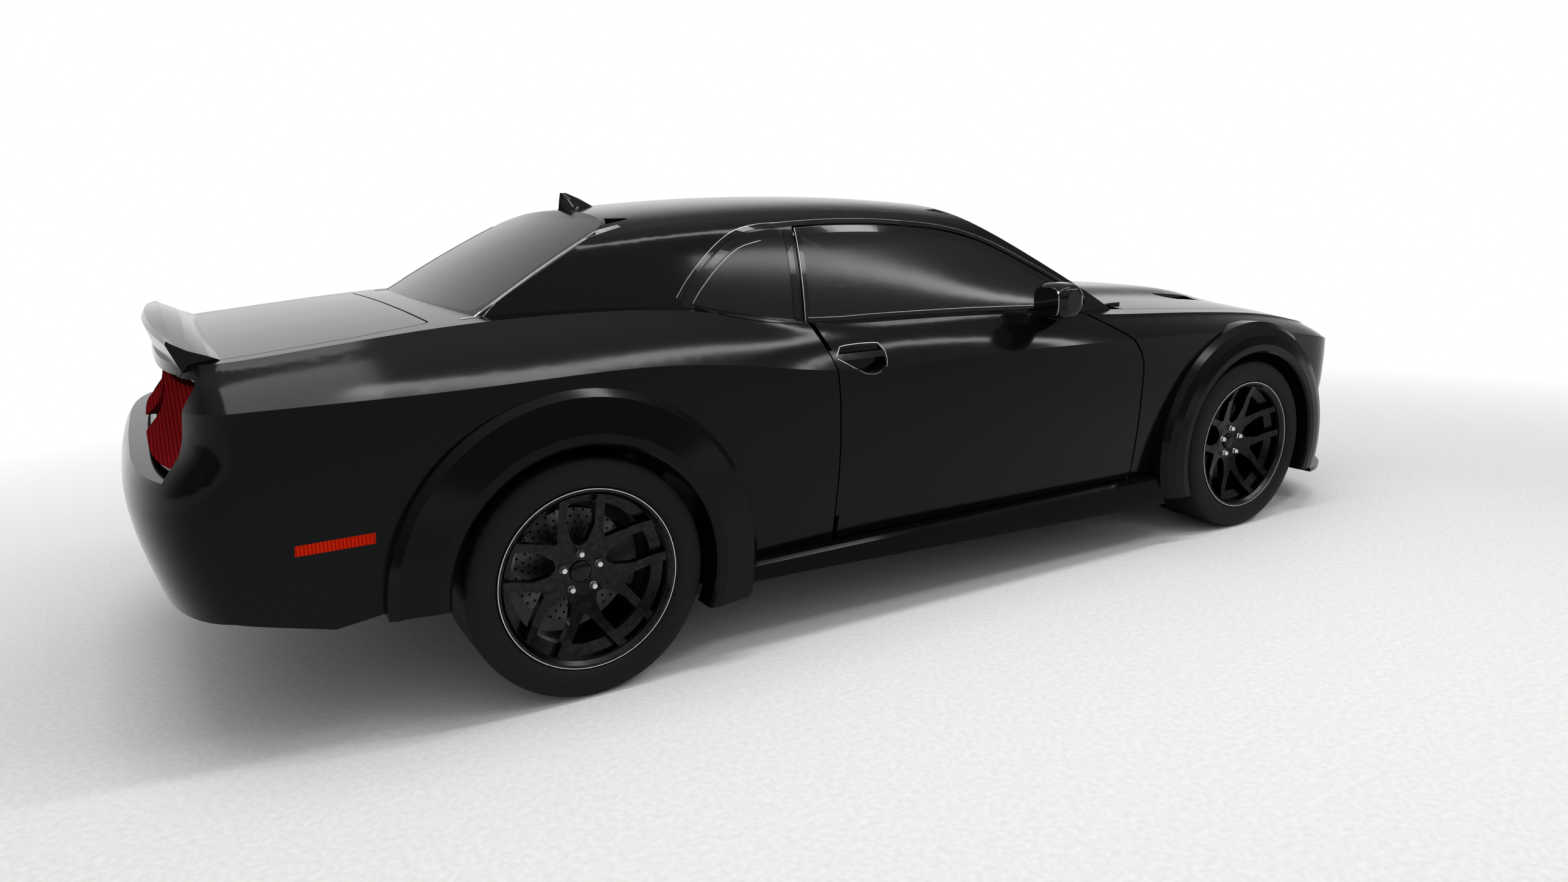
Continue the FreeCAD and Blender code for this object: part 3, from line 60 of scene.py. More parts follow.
# Wheels: the end of their nodes' names, the body, the axle and the side
WHEELS = [
    ("front_right", "right_front_wheel", FRONT_AXLE_X, -1),
    ("front_left", "left_front_wheel", FRONT_AXLE_X, 1),
    ("rear_right", "right_rear_wheel", REAR_AXLE_X, -1),
    ("rear_left", "left_rear_wheel", REAR_AXLE_X, 1),
]

# Bodies that a right piece and its left twin ride
CAR = ("car_body", "car_body")
DOORS = ("right_door", "left_door")

# Floor sizes in metres, its colours, and the reach over which it fades to white round a centre
FLOOR_RADIUS = 60.0
FLOOR_SIDES = 96
FLOOR_DROP = 0.0005
FLOOR_COLORS = ((0.7, 0.712, 0.694), (0.8, 0.812, 0.793))
FLOOR_FADE = (3.6, 7.0)
FADE_CENTRE = (-0.1, -2.3)

# The surroundings' level by height of view, from the horizon to overhead: the camera's side, the
# ends of the room and the far wall, then where one passes into the next across the room
NEAR_LEVELS = [(0.0, 0.2), (0.16, 0.22), (0.4, 0.75), (0.8, 0.75), (1.0, 1.0)]
END_LEVELS = [(0.0, 0.25), (0.45, 0.16), (0.65, 0.3), (0.8, 0.65), (1.0, 1.0)]
FAR_LEVELS = [(0.0, 1.0), (0.2, 0.9), (0.45, 0.5), (0.65, 0.35), (0.8, 0.6), (1.0, 1.0)]
NEAR_TURN = (-0.55, -0.1)
FAR_TURN = (0.1, 0.55)

# Lamps: name, place, target, direction of the long side, size in metres and level
LAMPS = [
    ("rear_strip", (0.2, -1.5, 4.2), (0.0, -0.9, 0.5), (3.5, -0.7, 0.0), (4.2, 0.28), 17.0),
    ("side_strip", (2.5, -3.3, 4.1), (0.3, -0.9, 0.5), (3.7, 0.5, 0.0), (4.6, 0.28), 15.0),
    ("tail_panel", (-2.5, -0.65, 4.4), (-2.2, -0.8, 0.9), (1.0, 0.0, 0.0), (1.7, 1.7), 5.5),
]

# Paints: two colours, roughness and specular level
PAINTS = {
    "body_paint": ((0.0018, 0.0018, 0.0022), (0.004, 0.004, 0.005), 0.12, 0.115),
    "gloss_trim": ((0.002, 0.002, 0.0023), (0.0035, 0.0035, 0.004), 0.08, 0.2),
}

# Metals: two colours and roughness
METALS = {
    # bright_trim: chrome for the lamp rims, and bright metal for a painted reflection beside the
    # backlight and a painted highlight on the rim lips
    "bright_trim": ((0.5, 0.51, 0.53), (0.75, 0.76, 0.78), 0.22),
    # thin_edge: a grey metal for thin lines laid along edges, as painted highlights of those edges
    "thin_edge": ((0.2, 0.2, 0.21), (0.32, 0.32, 0.33), 0.3),
    "nut_steel": ((0.55, 0.55, 0.56), (0.75, 0.75, 0.76), 0.2),
    "mirror_face": ((0.18, 0.19, 0.2), (0.24, 0.25, 0.26), 0.06),
    "rim_black": ((0.012, 0.012, 0.013), (0.028, 0.028, 0.03), 0.22),
    "exhaust_steel": ((0.25, 0.245, 0.24), (0.4, 0.39, 0.38), 0.3),
    "engine_metal": ((0.12, 0.12, 0.125), (0.2, 0.2, 0.21), 0.45),
}

# Plastics, leathers and coated steel: two colours, roughness, scale of the grain and its strength
PLASTICS = {
    "plate_blank": ((0.55, 0.56, 0.57), (0.66, 0.67, 0.68), 0.4, 60.0, 0.05),
    "grille_trim": ((0.008, 0.008, 0.009), (0.016, 0.016, 0.017), 0.5, 240.0, 0.2),
    "chassis_steel": ((0.012, 0.012, 0.013), (0.03, 0.03, 0.032), 0.5, 80.0, 0.2),
    "underbody": ((0.008, 0.008, 0.009), (0.02, 0.02, 0.021), 0.7, 90.0, 0.35),
    "dash_plastic": ((0.01, 0.01, 0.011), (0.022, 0.022, 0.024), 0.55, 300.0, 0.3),
    "seat_leather": ((0.012, 0.0115, 0.0115), (0.03, 0.029, 0.029), 0.45, 180.0, 0.4),
    "wheel_leather": ((0.01, 0.01, 0.01), (0.022, 0.022, 0.022), 0.42, 260.0, 0.35),
}

# Dark glass: the specular level of each, and what they share
GLASSES = {
    "tinted_glass": (0.4,),
    "side_glass": (0.18,),
}
GLASS_COLOR = (0.006, 0.008, 0.0075)
GLASS_ROUGHNESS = 0.1
GLASS_ALPHA = 0.86
SIDE_GLASS = ("door_glass_right", "door_glass_left", "quarter_glass")

# Lenses: the height that parts the low marker from the lamps, the colours of each, specular level
LENSES = {
    "clear_lens": (0.54, ((0.42, 0.1, 0.004), (0.62, 0.17, 0.006)),
                   ((0.5, 0.52, 0.55), (0.75, 0.77, 0.8)), 0.5),
    "red_lens": (0.68, ((0.36, 0.008, 0.002), (0.62, 0.02, 0.004)),
                 ((0.09, 0.003, 0.004), (0.19, 0.007, 0.009)), 0.0),
}
LENS_ROUGHNESS = 0.2
LENS_RIBS = 34.0
LENS_RIB_WAVER = 0.3
LENS_BUMP = (0.2, 0.002)

# Scales of the noises, and their roughness
NOISE_ROUGHNESS = 0.55
FLAKE_SCALE = 900.0
PAINT_CLOUD_SCALE = 3.0
PEEL_SCALE = 260.0
METAL_CLOUD_SCALE = 60.0
SMEAR_SCALE = 2.5
DUST_SCALE = 90.0
DISC_CLOUD_SCALE = 50.0
SPECKLE_SCALE = 55.0

# How far the roughness of each kind spreads round its value
PAINT_SPREAD = (0.8, 1.25)
PLASTIC_SPREAD = (0.85, 1.2)
METAL_SPREAD = (0.8, 1.3)
GLASS_SPREAD = (1.0, 1.6)

# Bumps: strength and depth in metres
PEEL_BUMP = (0.03, 0.0003)
METAL_BUMP = (0.08, 0.0006)
GRAIN_DEPTH = 0.001
PLASTIC_SPECULAR = 0.4

# Tyre tread and wall: metres, grooves by place across, sipes and rings by their rate
TREAD_RADIUS = 0.3505
GROOVE_PITCH = 0.042
GROOVE_HALF = 0.006
SIPE_RATE = 12.0
SIPE_SKEW = 9.0
SIPE_SHARE = 0.16
RING_RATE = 900.0
RING_HEIGHT = 0.12
TYRE_COLORS = ((0.0015, 0.0015, 0.0015), (0.0065, 0.0065, 0.007))
TYRE_ROUGHNESS = (0.55, 0.8)
TYRE_SPECULAR = 0.18
# Painted shade: how much darker the grooves and sipes are painted
TYRE_CUT_PAINTED_SHADE = 0.5
TYRE_BUMP = (0.9, 0.004)

# Brake disc face: rings of holes from a radius outward, painted dark as painted shade, and fine turning
# lines
HOLE_START = 0.1
HOLE_ROWS_PER_METRE = 50.0
HOLES_ROUND = 36.0
HOLE_STAGGER = 0.37
HOLE_STRETCH = 2.2
HOLE_SIZE = 0.045
TURNING_RATE = 4000.0
TURNING_SHADE = 0.1
DISC_SHADE = 0.6
DISC_COLORS = ((0.004, 0.004, 0.004), (0.1, 0.1, 0.103))
DISC_ROUGHNESS = (0.3, 0.5)
DISC_BUMP = (0.3, 0.001)

# Bevel on the rims: width in metres, steps, and the angle in degrees from which an edge has it
RIM_BEVEL = 0.0022
RIM_BEVEL_STEPS = 2
RIM_BEVEL_ANGLE = 50.0

# Strips in metres: step along the path, depth of the root, and the jump at which a strip is left out
PATH_STEP = 0.02
STRIP_ROOT = 0.0006
JUMP_WIDTHS = 3.0
JUMP_SLACK = 0.03

# Where rays start for each view, their direction, and the two axes that its paths use
VIEWS = {
    "side": (Vector((0.0, -3.0, 0.0)), Vector((0.0, 1.0, 0.0)), (0, 2)),
    "top": (Vector((0.0, 0.0, 4.0)), Vector((0.0, 0.0, -1.0)), (0, 1)),
    "rear": (Vector((-5.0, 0.0, 0.0)), Vector((1.0, 0.0, 0.0)), (1, 2)),
}

# CAD nodes whose surfaces carry pieces
CARRIERS = {
    "body": ["body_sides", "body_shell"],
    "door": ["door_right", "door_glass_right"],
    "quarter": ["quarter_glass"],
    "screen": ["windshield", "body_shell", "body_sides"],
    "bumper": ["rear_bumper"],
}

# Window lines of the right side, (x, z) in millimetres as in the CAD model
QUARTER_TOP = [(-952, 1112), (-905, 1165), (-820, 1240), (-730, 1296), (-640, 1318), (-546, 1322)]
DOOR_TOP = [(-500, 1325), (-300, 1329), (-93, 1320), (154, 1292), (352, 1236), (563, 1136),
            (716, 1050), (778, 1004)]
DOOR_REAR = [(-548, 1030), (-520, 1180), (-500, 1325)]
QUARTER_FRONT = [(-586, 1042), (-562, 1180), (-546, 1322)]
QUARTER_BASE = [(-952, 1112), (-860, 1090), (-740, 1062), (-586, 1040)]
BELT = [(672, 985), (452, 998), (111, 1012), (-247, 1019), (-420, 1019), (-548, 1024)]
HANDLE = [(-494, 918), (-470, 945), (-318, 945), (-303, 922), (-308, 880), (-340, 861),
          (-392, 862), (-494, 918)]

# Lines seen from above, (x, y) in millimetres
ROOF_SEAM = [(330, -600), (-350, -602), (-1040, -588)]
BACKLIGHT_SIDE = [(-1612, -652), (-1340, -604), (-1075, -556)]
WIPERS = [
    ("wiper_right", [(905, -560), (850, -250), (838, 40)]),
    ("wiper_left", [(905, 60), (855, 330), (800, 560)]),
]
WIPER_WIDTH = 0.012
WIPER_HEIGHT = 0.014

# Strips of the right side and their left twins: name, carrier, view, path, shift to the path's left,
# width and height in millimetres, material and bodies
STRIPS = [
    ("window_surround", "body", "side", QUARTER_TOP + DOOR_TOP, 13.0, 14.0, 1.6, "gloss_trim", CAR),
    # Painted highlight: a thin grey metal line along the window frame's outer edge
    ("window_edge_highlight", "body", "side", QUARTER_TOP + DOOR_TOP, 20.0, 1.7, 2.0, "thin_edge", CAR),
    ("door_glass_band", "door", "side", DOOR_TOP, -12.0, 22.0, 0.5, "gloss_trim", DOORS),
    ("door_glass_rear_band", "door", "side", DOOR_REAR, -12.0, 20.0, 0.5, "gloss_trim", DOORS),
    # Painted highlight: a thin grey metal line along the door glass's rear edge
    ("door_glass_rear_highlight", "door", "side", DOOR_REAR, -3.5, 1.8, 1.0, "thin_edge", DOORS),
    ("quarter_band", "quarter", "side", QUARTER_TOP, -12.0, 22.0, 0.5, "gloss_trim", CAR),
    # Painted highlight: a thin grey metal line on the quarter glass below its band
    ("quarter_highlight_line", "quarter", "side", QUARTER_TOP[:-1], -30.0, 1.6, 0.7, "thin_edge", CAR),
    ("pillar_cover", "body", "side", QUARTER_FRONT, -15.0, 22.0, 1.2, "gloss_trim", CAR),
    ("quarter_base", "body", "side", QUARTER_BASE, -9.0, 13.0, 2.0, "gloss_trim", CAR),
    ("belt_moulding", "door", "side", BELT, -8.0, 12.0, 3.0, "gloss_trim", DOORS),
    # Painted highlight: a thin grey metal line along the belt moulding's edge
    ("belt_edge_highlight", "door", "side", BELT, -15.5, 1.8, 3.4, "thin_edge", DOORS),
    # Painted highlight: a thin grey metal line round the door handle's pocket
    ("handle_rim_highlight", "door", "side", HANDLE, 4.0, 2.0, 1.0, "thin_edge", DOORS),
    ("roof_seam", "body", "top", ROOF_SEAM, 0.0, 5.0, 0.5, "gloss_trim", CAR),
    # Painted reflection: a bright metal strip where the pillar's black paint reflects the bright room
    # beside the backlight
    ("backlight_painted_reflection", "body", "top", BACKLIGHT_SIDE, 0.0, 20.0, 1.4, "bright_trim", CAR),
]

# Wheel pieces in metres: faces from the wheel's middle plane, profiles as (radius, height)
HUB_FACE = 0.058
LIP_FACE = 0.1399
NUT_COUNT = 5
NUT_CIRCLE = 0.0575
NUT_START = 162.0
NUT_PROFILE = [(0.0125, -0.006), (0.0125, 0.009), (0.0108, 0.011), (0.0108, 0.018),
               (0.0075, 0.0225), (0.0, 0.0235)]
CAP_PROFILE = [(0.033, -0.004), (0.033, 0.004), (0.030, 0.007), (0.012, 0.0095), (0.0, 0.0098)]
LIP_PROFILE = [(0.2675, 0.0), (0.2675, 0.0014), (0.2695, 0.0014), (0.2695, 0.0), (0.2675, 0.0)]
NUT_SIDES = 12
CAP_SIDES = 40
LIP_SIDES = 96

# Right mirror's face in metres: its two planes, centre and half size in (y, z), and its roundness
MIRROR_PLANES = (0.3475, 0.3425)
MIRROR_CENTRE = (-0.992, 1.048)
MIRROR_HALF = (0.060, 0.052)
MIRROR_ROUNDNESS = 0.55
MIRROR_SIDES = 28

# Wire meshes of the nose in metres: rear face x, half width, low and high z, upright wires to each
# side of the middle, and level wires
WIRE_MESHES = [
    (2.4262, 0.38, 0.570, 0.690, 30, 10),
    (2.3405, 0.51, 0.262, 0.412, 40, 12),
]
WIRE_PITCH = 0.0125
WIRE_HALF = 0.0008
WIRE_DEPTH = 0.0014
WIRE_MARGIN = 0.004

# Rims of the round lamps in metres
LAMP_FACE_X = 2.4335
LAMP_PLACES = (-0.575, -0.44, 0.44, 0.575)
LAMP_Z = 0.63
LAMP_RIM_PROFILE = [(0.047, 0.0), (0.047, 0.003), (0.0525, 0.003), (0.0525, -0.02), (0.047, 0.0)]
LAMP_RIM_SIDES = 40

# Blank plate in metres: low and high edge, half width, its two faces from the bumper, and its screws
PLATE_LOW = 0.436
PLATE_HIGH = 0.582
PLATE_HALF = 0.152
PLATE_FACES = (-0.006, 0.004)
SCREW_PLACES = (-0.09, 0.09)
SCREW_DROP = 0.016
SCREW_PROFILE = [(0.006, -0.002), (0.006, 0.0015), (0.004, 0.0025), (0.0, 0.0025)]
SCREW_SIDES = 16


# Camera
def make_camera():
    yaw = math.radians(CAMERA_YAW)
    pitch = math.radians(CAMERA_PITCH)
    roll = math.radians(CAMERA_ROLL)
    ahead = Vector((math.sin(yaw) * math.cos(pitch), math.cos(yaw) * math.cos(pitch),
                    math.sin(pitch)))
    right = ahead.cross(Vector((0, 0, 1))).normalized()
    up = right.cross(ahead)
    right_turned = right * math.cos(roll) + up * math.sin(roll)
    up_turned = up * math.cos(roll) - right * math.sin(roll)
    data = bpy.data.cameras.new("photo_camera")
    data.sensor_width = SENSOR
    data.lens = SENSOR * FOCAL_PIXELS / PHOTO_WIDTH
    data.clip_start, data.clip_end = CAMERA_CLIP
    camera = bpy.data.objects.new("photo_camera", data)
    scene.collection.objects.link(camera)
    turn = Matrix((right_turned, up_turned, -ahead)).transposed()
    camera.matrix_world = Matrix.Translation(CAMERA_PLACE) @ turn.to_4x4()
    scene.camera = camera


# Material helpers
SOCKETS = {"color": "Base Color", "metallic": "Metallic", "roughness": "Roughness",
           "specular": "Specular IOR Level", "alpha": "Alpha"}


def new_material(name):
    """A material with its shader node and output, ready for more nodes."""
    material = bpy.data.materials.new(name)
    material.use_nodes = True
    tree = material.node_tree
    tree.nodes.clear()
    shader = tree.nodes.new("ShaderNodeBsdfPrincipled")
    output = tree.nodes.new("ShaderNodeOutputMaterial")
    tree.links.new(shader.outputs["BSDF"], output.inputs["Surface"])
    return material, tree, shader


def set_inputs(shader, **values):
    for key, value in values.items():
        if key == "color":
            value = (*value, 1.0)
        shader.inputs[SOCKETS[key]].default_value = value


def object_point(tree):
    """Object coordinates."""
    return tree.nodes.new("ShaderNodeTexCoord").outputs["Object"]


def split_axes(tree, point):
    """The X, Y and Z of a point, as a node's outputs."""
    node = tree.nodes.new("ShaderNodeSeparateXYZ")
    tree.links.new(point, node.inputs["Vector"])
    return node.outputs


def noise(tree, scale, detail):
    node = tree.nodes.new("ShaderNodeTexNoise")
    node.inputs["Scale"].default_value = scale
    node.inputs["Detail"].default_value = detail
    node.inputs["Roughness"].default_value = NOISE_ROUGHNESS
    tree.links.new(object_point(tree), node.inputs["Vector"])
    return node.outputs["Fac"]


def ramp(tree, factor, stops):
    """A colour ramp; each stop is (place, colour)."""
    node = tree.nodes.new("ShaderNodeValToRGB")
    elements = node.color_ramp.elements
    while len(elements) < len(stops):
        elements.new(0.5)
    for element, (place, color) in zip(elements, stops):
        element.position = place
        element.color = (*color, 1.0)
    tree.links.new(factor, node.inputs["Fac"])
    return node.outputs["Color"]


def blend_colors(tree, factor, first, second):
    """A mix of two colours; each is a socket or a colour."""
    node = tree.nodes.new("ShaderNodeMix")
    node.data_type = "RGBA"
    factor_socket, color_sockets, result = node.inputs[0], node.inputs[6:8], node.outputs[2]
    tree.links.new(factor, factor_socket)
    for socket, value in zip(color_sockets, (first, second)):
        if isinstance(value, tuple):
            socket.default_value = (*value, 1.0)
        else:
            tree.links.new(value, socket)
    return result


def map_range(tree, value, from_span, to_span):
    """A value moved from one span to another, and held at the other's ends."""
    node = tree.nodes.new("ShaderNodeMapRange")
    names = ("From Min", "From Max", "To Min", "To Max")
    for name, number in zip(names, (*from_span, *to_span)):
        node.inputs[name].default_value = number
    tree.links.new(value, node.inputs["Value"])
    return node.outputs["Result"]


def turn_share(tree, value, span):
    """How far a value has passed through a span, from 0 to 1."""
    return map_range(tree, value, span, (0.0, 1.0))


def calc(tree, operation, first, second=0.0):
    """A math node's output; both operands are sockets or numbers."""
    node = tree.nodes.new("ShaderNodeMath")
    node.operation = operation
    for socket, value in zip(node.inputs, (first, second)):
        if isinstance(value, (int, float)):
            socket.default_value = value
        else:
            tree.links.new(value, socket)
    return node.outputs["Value"]


def length(tree, first, second):
    """The length of a flat vector."""
    squares = calc(tree, "ADD", calc(tree, "MULTIPLY", first, first),
                   calc(tree, "MULTIPLY", second, second))
    return calc(tree, "SQRT", squares)


def polar(tree, axle_x):
    """Angle in radians and radius in metres round an axle, and the place across it."""
    point = split_axes(tree, object_point(tree))
    x = calc(tree, "SUBTRACT", point["X"], axle_x)
    z = calc(tree, "SUBTRACT", point["Z"], AXLE_Z)
    angle = calc(tree, "ARCTAN2", z, x)
    across = calc(tree, "SUBTRACT", calc(tree, "ABSOLUTE", point["Y"]), TRACK_HALF)
    return angle, length(tree, x, z), across


def add_bump(tree, shader, height, strength, distance):
    node = tree.nodes.new("ShaderNodeBump")
    node.inputs["Strength"].default_value = strength
    node.inputs["Distance"].default_value = distance
    tree.links.new(height, node.inputs["Height"])
    tree.links.new(node.outputs["Normal"], shader.inputs["Normal"])


def vary_color(tree, shader, factor, stops):
    tree.links.new(ramp(tree, factor, stops), shader.inputs["Base Color"])


def vary_roughness(tree, shader, factor, roughness, spread):
    """Roughness that follows a factor over a spread, which is given in shares of its value."""
    span = (roughness * spread[0], roughness * spread[1])
    tree.links.new(map_range(tree, factor, (0.0, 1.0), span), shader.inputs["Roughness"])


# Materials
def paint(name, color, tint, roughness, specular):
    """Black paint: a fine flake in its colour and a faint orange peel in its surface."""
    material, tree, shader = new_material(name)
    set_inputs(shader, specular=specular)
    vary_color(tree, shader, noise(tree, FLAKE_SCALE, 2.0), [(0.35, color), (0.75, tint)])
    vary_roughness(tree, shader, noise(tree, PAINT_CLOUD_SCALE, 3.0), roughness, PAINT_SPREAD)
    add_bump(tree, shader, noise(tree, PEEL_SCALE, 2.0), *PEEL_BUMP)
    return material


def plastic(name, color, tint, roughness, grain_scale, grain_strength):
    material, tree, shader = new_material(name)
    set_inputs(shader, specular=PLASTIC_SPECULAR)
    grain = noise(tree, grain_scale, 3.0)
    vary_color(tree, shader, grain, [(0.3, color), (0.8, tint)])
    vary_roughness(tree, shader, grain, roughness, PLASTIC_SPREAD)
    add_bump(tree, shader, grain, grain_strength, GRAIN_DEPTH)
    return material


def metal(name, color, tint, roughness):
    material, tree, shader = new_material(name)
    set_inputs(shader, metallic=1.0)
    cloud = noise(tree, METAL_CLOUD_SCALE, 4.0)
    vary_color(tree, shader, cloud, [(0.3, color), (0.75, tint)])
    vary_roughness(tree, shader, cloud, roughness, METAL_SPREAD)
    add_bump(tree, shader, cloud, *METAL_BUMP)
    return material


def glass(name, specular):
    """Dark tinted glass that lets part of the cabin show through."""
    material, tree, shader = new_material(name)
    set_inputs(shader, color=GLASS_COLOR, specular=specular, alpha=GLASS_ALPHA)
    vary_roughness(tree, shader, noise(tree, SMEAR_SCALE, 3.0), GLASS_ROUGHNESS, GLASS_SPREAD)
    return material


def lamp_lens(name, split_z, low, high, specular):
    """Lenses of two colours on one piece: the low side marker and the lamps above it."""
    material, tree, shader = new_material(name)
    set_inputs(shader, specular=specular, roughness=LENS_ROUGHNESS)
    wave = tree.nodes.new("ShaderNodeTexWave")
    wave.bands_direction = "X"
    wave.inputs["Scale"].default_value = LENS_RIBS
    wave.inputs["Distortion"].default_value = LENS_RIB_WAVER
    tree.links.new(object_point(tree), wave.inputs["Vector"])
    ribs = wave.outputs["Fac"]
    upper = calc(tree, "GREATER_THAN", split_axes(tree, object_point(tree))["Z"], split_z)
    low_color, high_color = (ramp(tree, ribs, [(0.1, dark), (0.9, light)])
                             for dark, light in (low, high))
    tree.links.new(blend_colors(tree, upper, low_color, high_color), shader.inputs["Base Color"])
    add_bump(tree, shader, ribs, *LENS_BUMP)
    return material


def tread(name, axle_x):
    """Tyre rubber with grooves round its tread, sipes across it and rings on its wall; the grooves and
    sipes are painted darker, as painted shade.
    """
    material, tree, shader = new_material(name)
    set_inputs(shader, specular=TYRE_SPECULAR)
    angle, radius, across = polar(tree, axle_x)
    groove = calc(tree, "LESS_THAN", calc(tree, "PINGPONG", across, GROOVE_PITCH), GROOVE_HALF)
    skew = calc(tree, "ADD", calc(tree, "MULTIPLY", angle, SIPE_RATE),
                calc(tree, "MULTIPLY", across, SIPE_SKEW))
    sipe = calc(tree, "LESS_THAN", calc(tree, "FRACT", skew), SIPE_SHARE)
    cut = calc(tree, "MULTIPLY", calc(tree, "MAXIMUM", groove, sipe),
               calc(tree, "GREATER_THAN", radius, TREAD_RADIUS))
    rings = calc(tree, "MULTIPLY", calc(tree, "SINE", calc(tree, "MULTIPLY", radius, RING_RATE)),
                 calc(tree, "LESS_THAN", radius, TREAD_RADIUS))
    height = calc(tree, "SUBTRACT", calc(tree, "MULTIPLY", rings, RING_HEIGHT), cut)
    dust = noise(tree, DUST_SCALE, 4.0)
    # Painted shade: the grooves and sipes are darkened in the colour, over the dust
    shade = calc(tree, "SUBTRACT", dust, calc(tree, "MULTIPLY", cut, TYRE_CUT_PAINTED_SHADE))
    vary_color(tree, shader, shade, [(0.15, TYRE_COLORS[0]), (0.75, TYRE_COLORS[1])])
    vary_roughness(tree, shader, dust, 1.0, TYRE_ROUGHNESS)
    add_bump(tree, shader, height, *TYRE_BUMP)
    return material


def drilled(name, axle_x):
    """A turned disc face with rings of drilled holes, painted near black as painted shade and pressed
    in by the bump.
    """
    material, tree, shader = new_material(name)
    set_inputs(shader, metallic=1.0)
    angle, radius, _ = polar(tree, axle_x)
    row = calc(tree, "MULTIPLY", calc(tree, "SUBTRACT", radius, HOLE_START), HOLE_ROWS_PER_METRE)
    stagger = calc(tree, "MULTIPLY", calc(tree, "FLOOR", row), HOLE_STAGGER)
    turn = calc(tree, "ADD", calc(tree, "MULTIPLY", angle, HOLES_ROUND / (2.0 * math.pi)), stagger)
    along = calc(tree, "SUBTRACT", calc(tree, "FRACT", turn), 0.5)
    outward = calc(tree, "SUBTRACT", calc(tree, "FRACT", row), 0.5)
    along_square = calc(tree, "MULTIPLY", along, along)
    spread = calc(tree, "ADD", calc(tree, "MULTIPLY", along_square, HOLE_STRETCH),
                  calc(tree, "MULTIPLY", outward, outward))
    painted_hole_shade = calc(tree, "LESS_THAN", spread, HOLE_SIZE)
    lines = calc(tree, "SINE", calc(tree, "MULTIPLY", radius, TURNING_RATE))
    turned = calc(tree, "ADD", calc(tree, "MULTIPLY", lines, TURNING_SHADE), DISC_SHADE)
    # Painted shade: the holes are painted near black on the turned face
    shade = calc(tree, "SUBTRACT", turned, painted_hole_shade)
    vary_color(tree, shader, shade, [(0.0, DISC_COLORS[0]), (0.7, DISC_COLORS[1])])
    vary_roughness(tree, shader, noise(tree, DISC_CLOUD_SCALE, 4.0), 1.0, DISC_ROUGHNESS)
    add_bump(tree, shader, shade, *DISC_BUMP)
    return material


def make_materials():
    kinds = ((paint, PAINTS), (metal, METALS), (plastic, PLASTICS), (glass, GLASSES),
             (lamp_lens, LENSES))
    return {name: make(name, *values) for make, table in kinds for name, values in table.items()}


# Studio
def make_world():
    """White behind the object. It reflects a white far wall and a dim room at the camera's side."""
    world = bpy.data.worlds.new("studio")
    world.use_nodes = True
    scene.world = world
    tree = world.node_tree
    tree.nodes.clear()
    path = tree.nodes.new("ShaderNodeLightPath")
    seen = calc(tree, "MAXIMUM", path.outputs["Is Camera Ray"], path.outputs["Is Transmission Ray"])
    view = split_axes(tree, tree.nodes.new("ShaderNodeTexCoord").outputs["Generated"])
    near, end, far = (ramp(tree, view["Z"], [(place, (v, v, v)) for place, v in levels])
                      for levels in (NEAR_LEVELS, END_LEVELS, FAR_LEVELS))
    soft = blend_colors(tree, turn_share(tree, view["Y"], NEAR_TURN), near, end)
    soft = blend_colors(tree, turn_share(tree, view["Y"], FAR_TURN), soft, far)
    sky = tree.nodes.new("ShaderNodeBackground")
    tree.links.new(blend_colors(tree, seen, soft, (1.0, 1.0, 1.0)), sky.inputs["Color"])
    output = tree.nodes.new("ShaderNodeOutputWorld")
    tree.links.new(sky.outputs["Background"], output.inputs["Surface"])


def make_floor():
    """A round pale floor with a fine speckle, which fades to white at its far edge."""
    bpy.ops.mesh.primitive_circle_add(vertices=FLOOR_SIDES, radius=FLOOR_RADIUS, fill_type="NGON",
                                      location=(0.0, 0.0, -FLOOR_DROP))
    floor = bpy.context.object
    floor.name = "studio_floor"
    material, tree, shader = new_material("studio_floor")
    set_inputs(shader, roughness=0.6, specular=0.2)
    vary_color(tree, shader, noise(tree, SPECKLE_SCALE, 5.0),
               [(0.3, FLOOR_COLORS[0]), (0.7, FLOOR_COLORS[1])])
    point = split_axes(tree, object_point(tree))
    reach = length(tree, calc(tree, "SUBTRACT", point["X"], FADE_CENTRE[0]),
                   calc(tree, "SUBTRACT", point["Y"], FADE_CENTRE[1]))
    fade = turn_share(tree, reach, FLOOR_FADE)
    path = tree.nodes.new("ShaderNodeLightPath")
    glow = tree.nodes.new("ShaderNodeEmission")
    mix = tree.nodes.new("ShaderNodeMixShader")
    seen = calc(tree, "MAXIMUM", path.outputs["Is Camera Ray"],
                calc(tree, "MAXIMUM", path.outputs["Is Glossy Ray"],
                     path.outputs["Is Transmission Ray"]))
    tree.links.new(calc(tree, "MULTIPLY", fade, seen), mix.inputs["Fac"])
    output = [n for n in tree.nodes if n.type == "OUTPUT_MATERIAL"][0]
    tree.links.new(shader.outputs["BSDF"], mix.inputs[1])
    tree.links.new(glow.outputs["Emission"], mix.inputs[2])
    tree.links.new(mix.outputs["Shader"], output.inputs["Surface"])
    floor.data.materials.append(material)


def make_lamp(name, place, target, along, size, level):
    """A soft lamp; its long side follows a direction and its surface has the level given."""
    data = bpy.data.lights.new(name, "AREA")
    data.shape = "RECTANGLE"
    data.size, data.size_y = size
    data.energy = level * math.pi * size[0] * size[1]
    lamp = bpy.data.objects.new(name, data)
    scene.collection.objects.link(lamp)
    back = (Vector(place) - Vector(target)).normalized()
    side = Vector(along)
    side = (side - back * side.dot(back)).normalized()
    turn = Matrix((side, back.cross(side), back)).transposed()
    lamp.matrix_world = Matrix.Translation(place) @ turn.to_4x4()


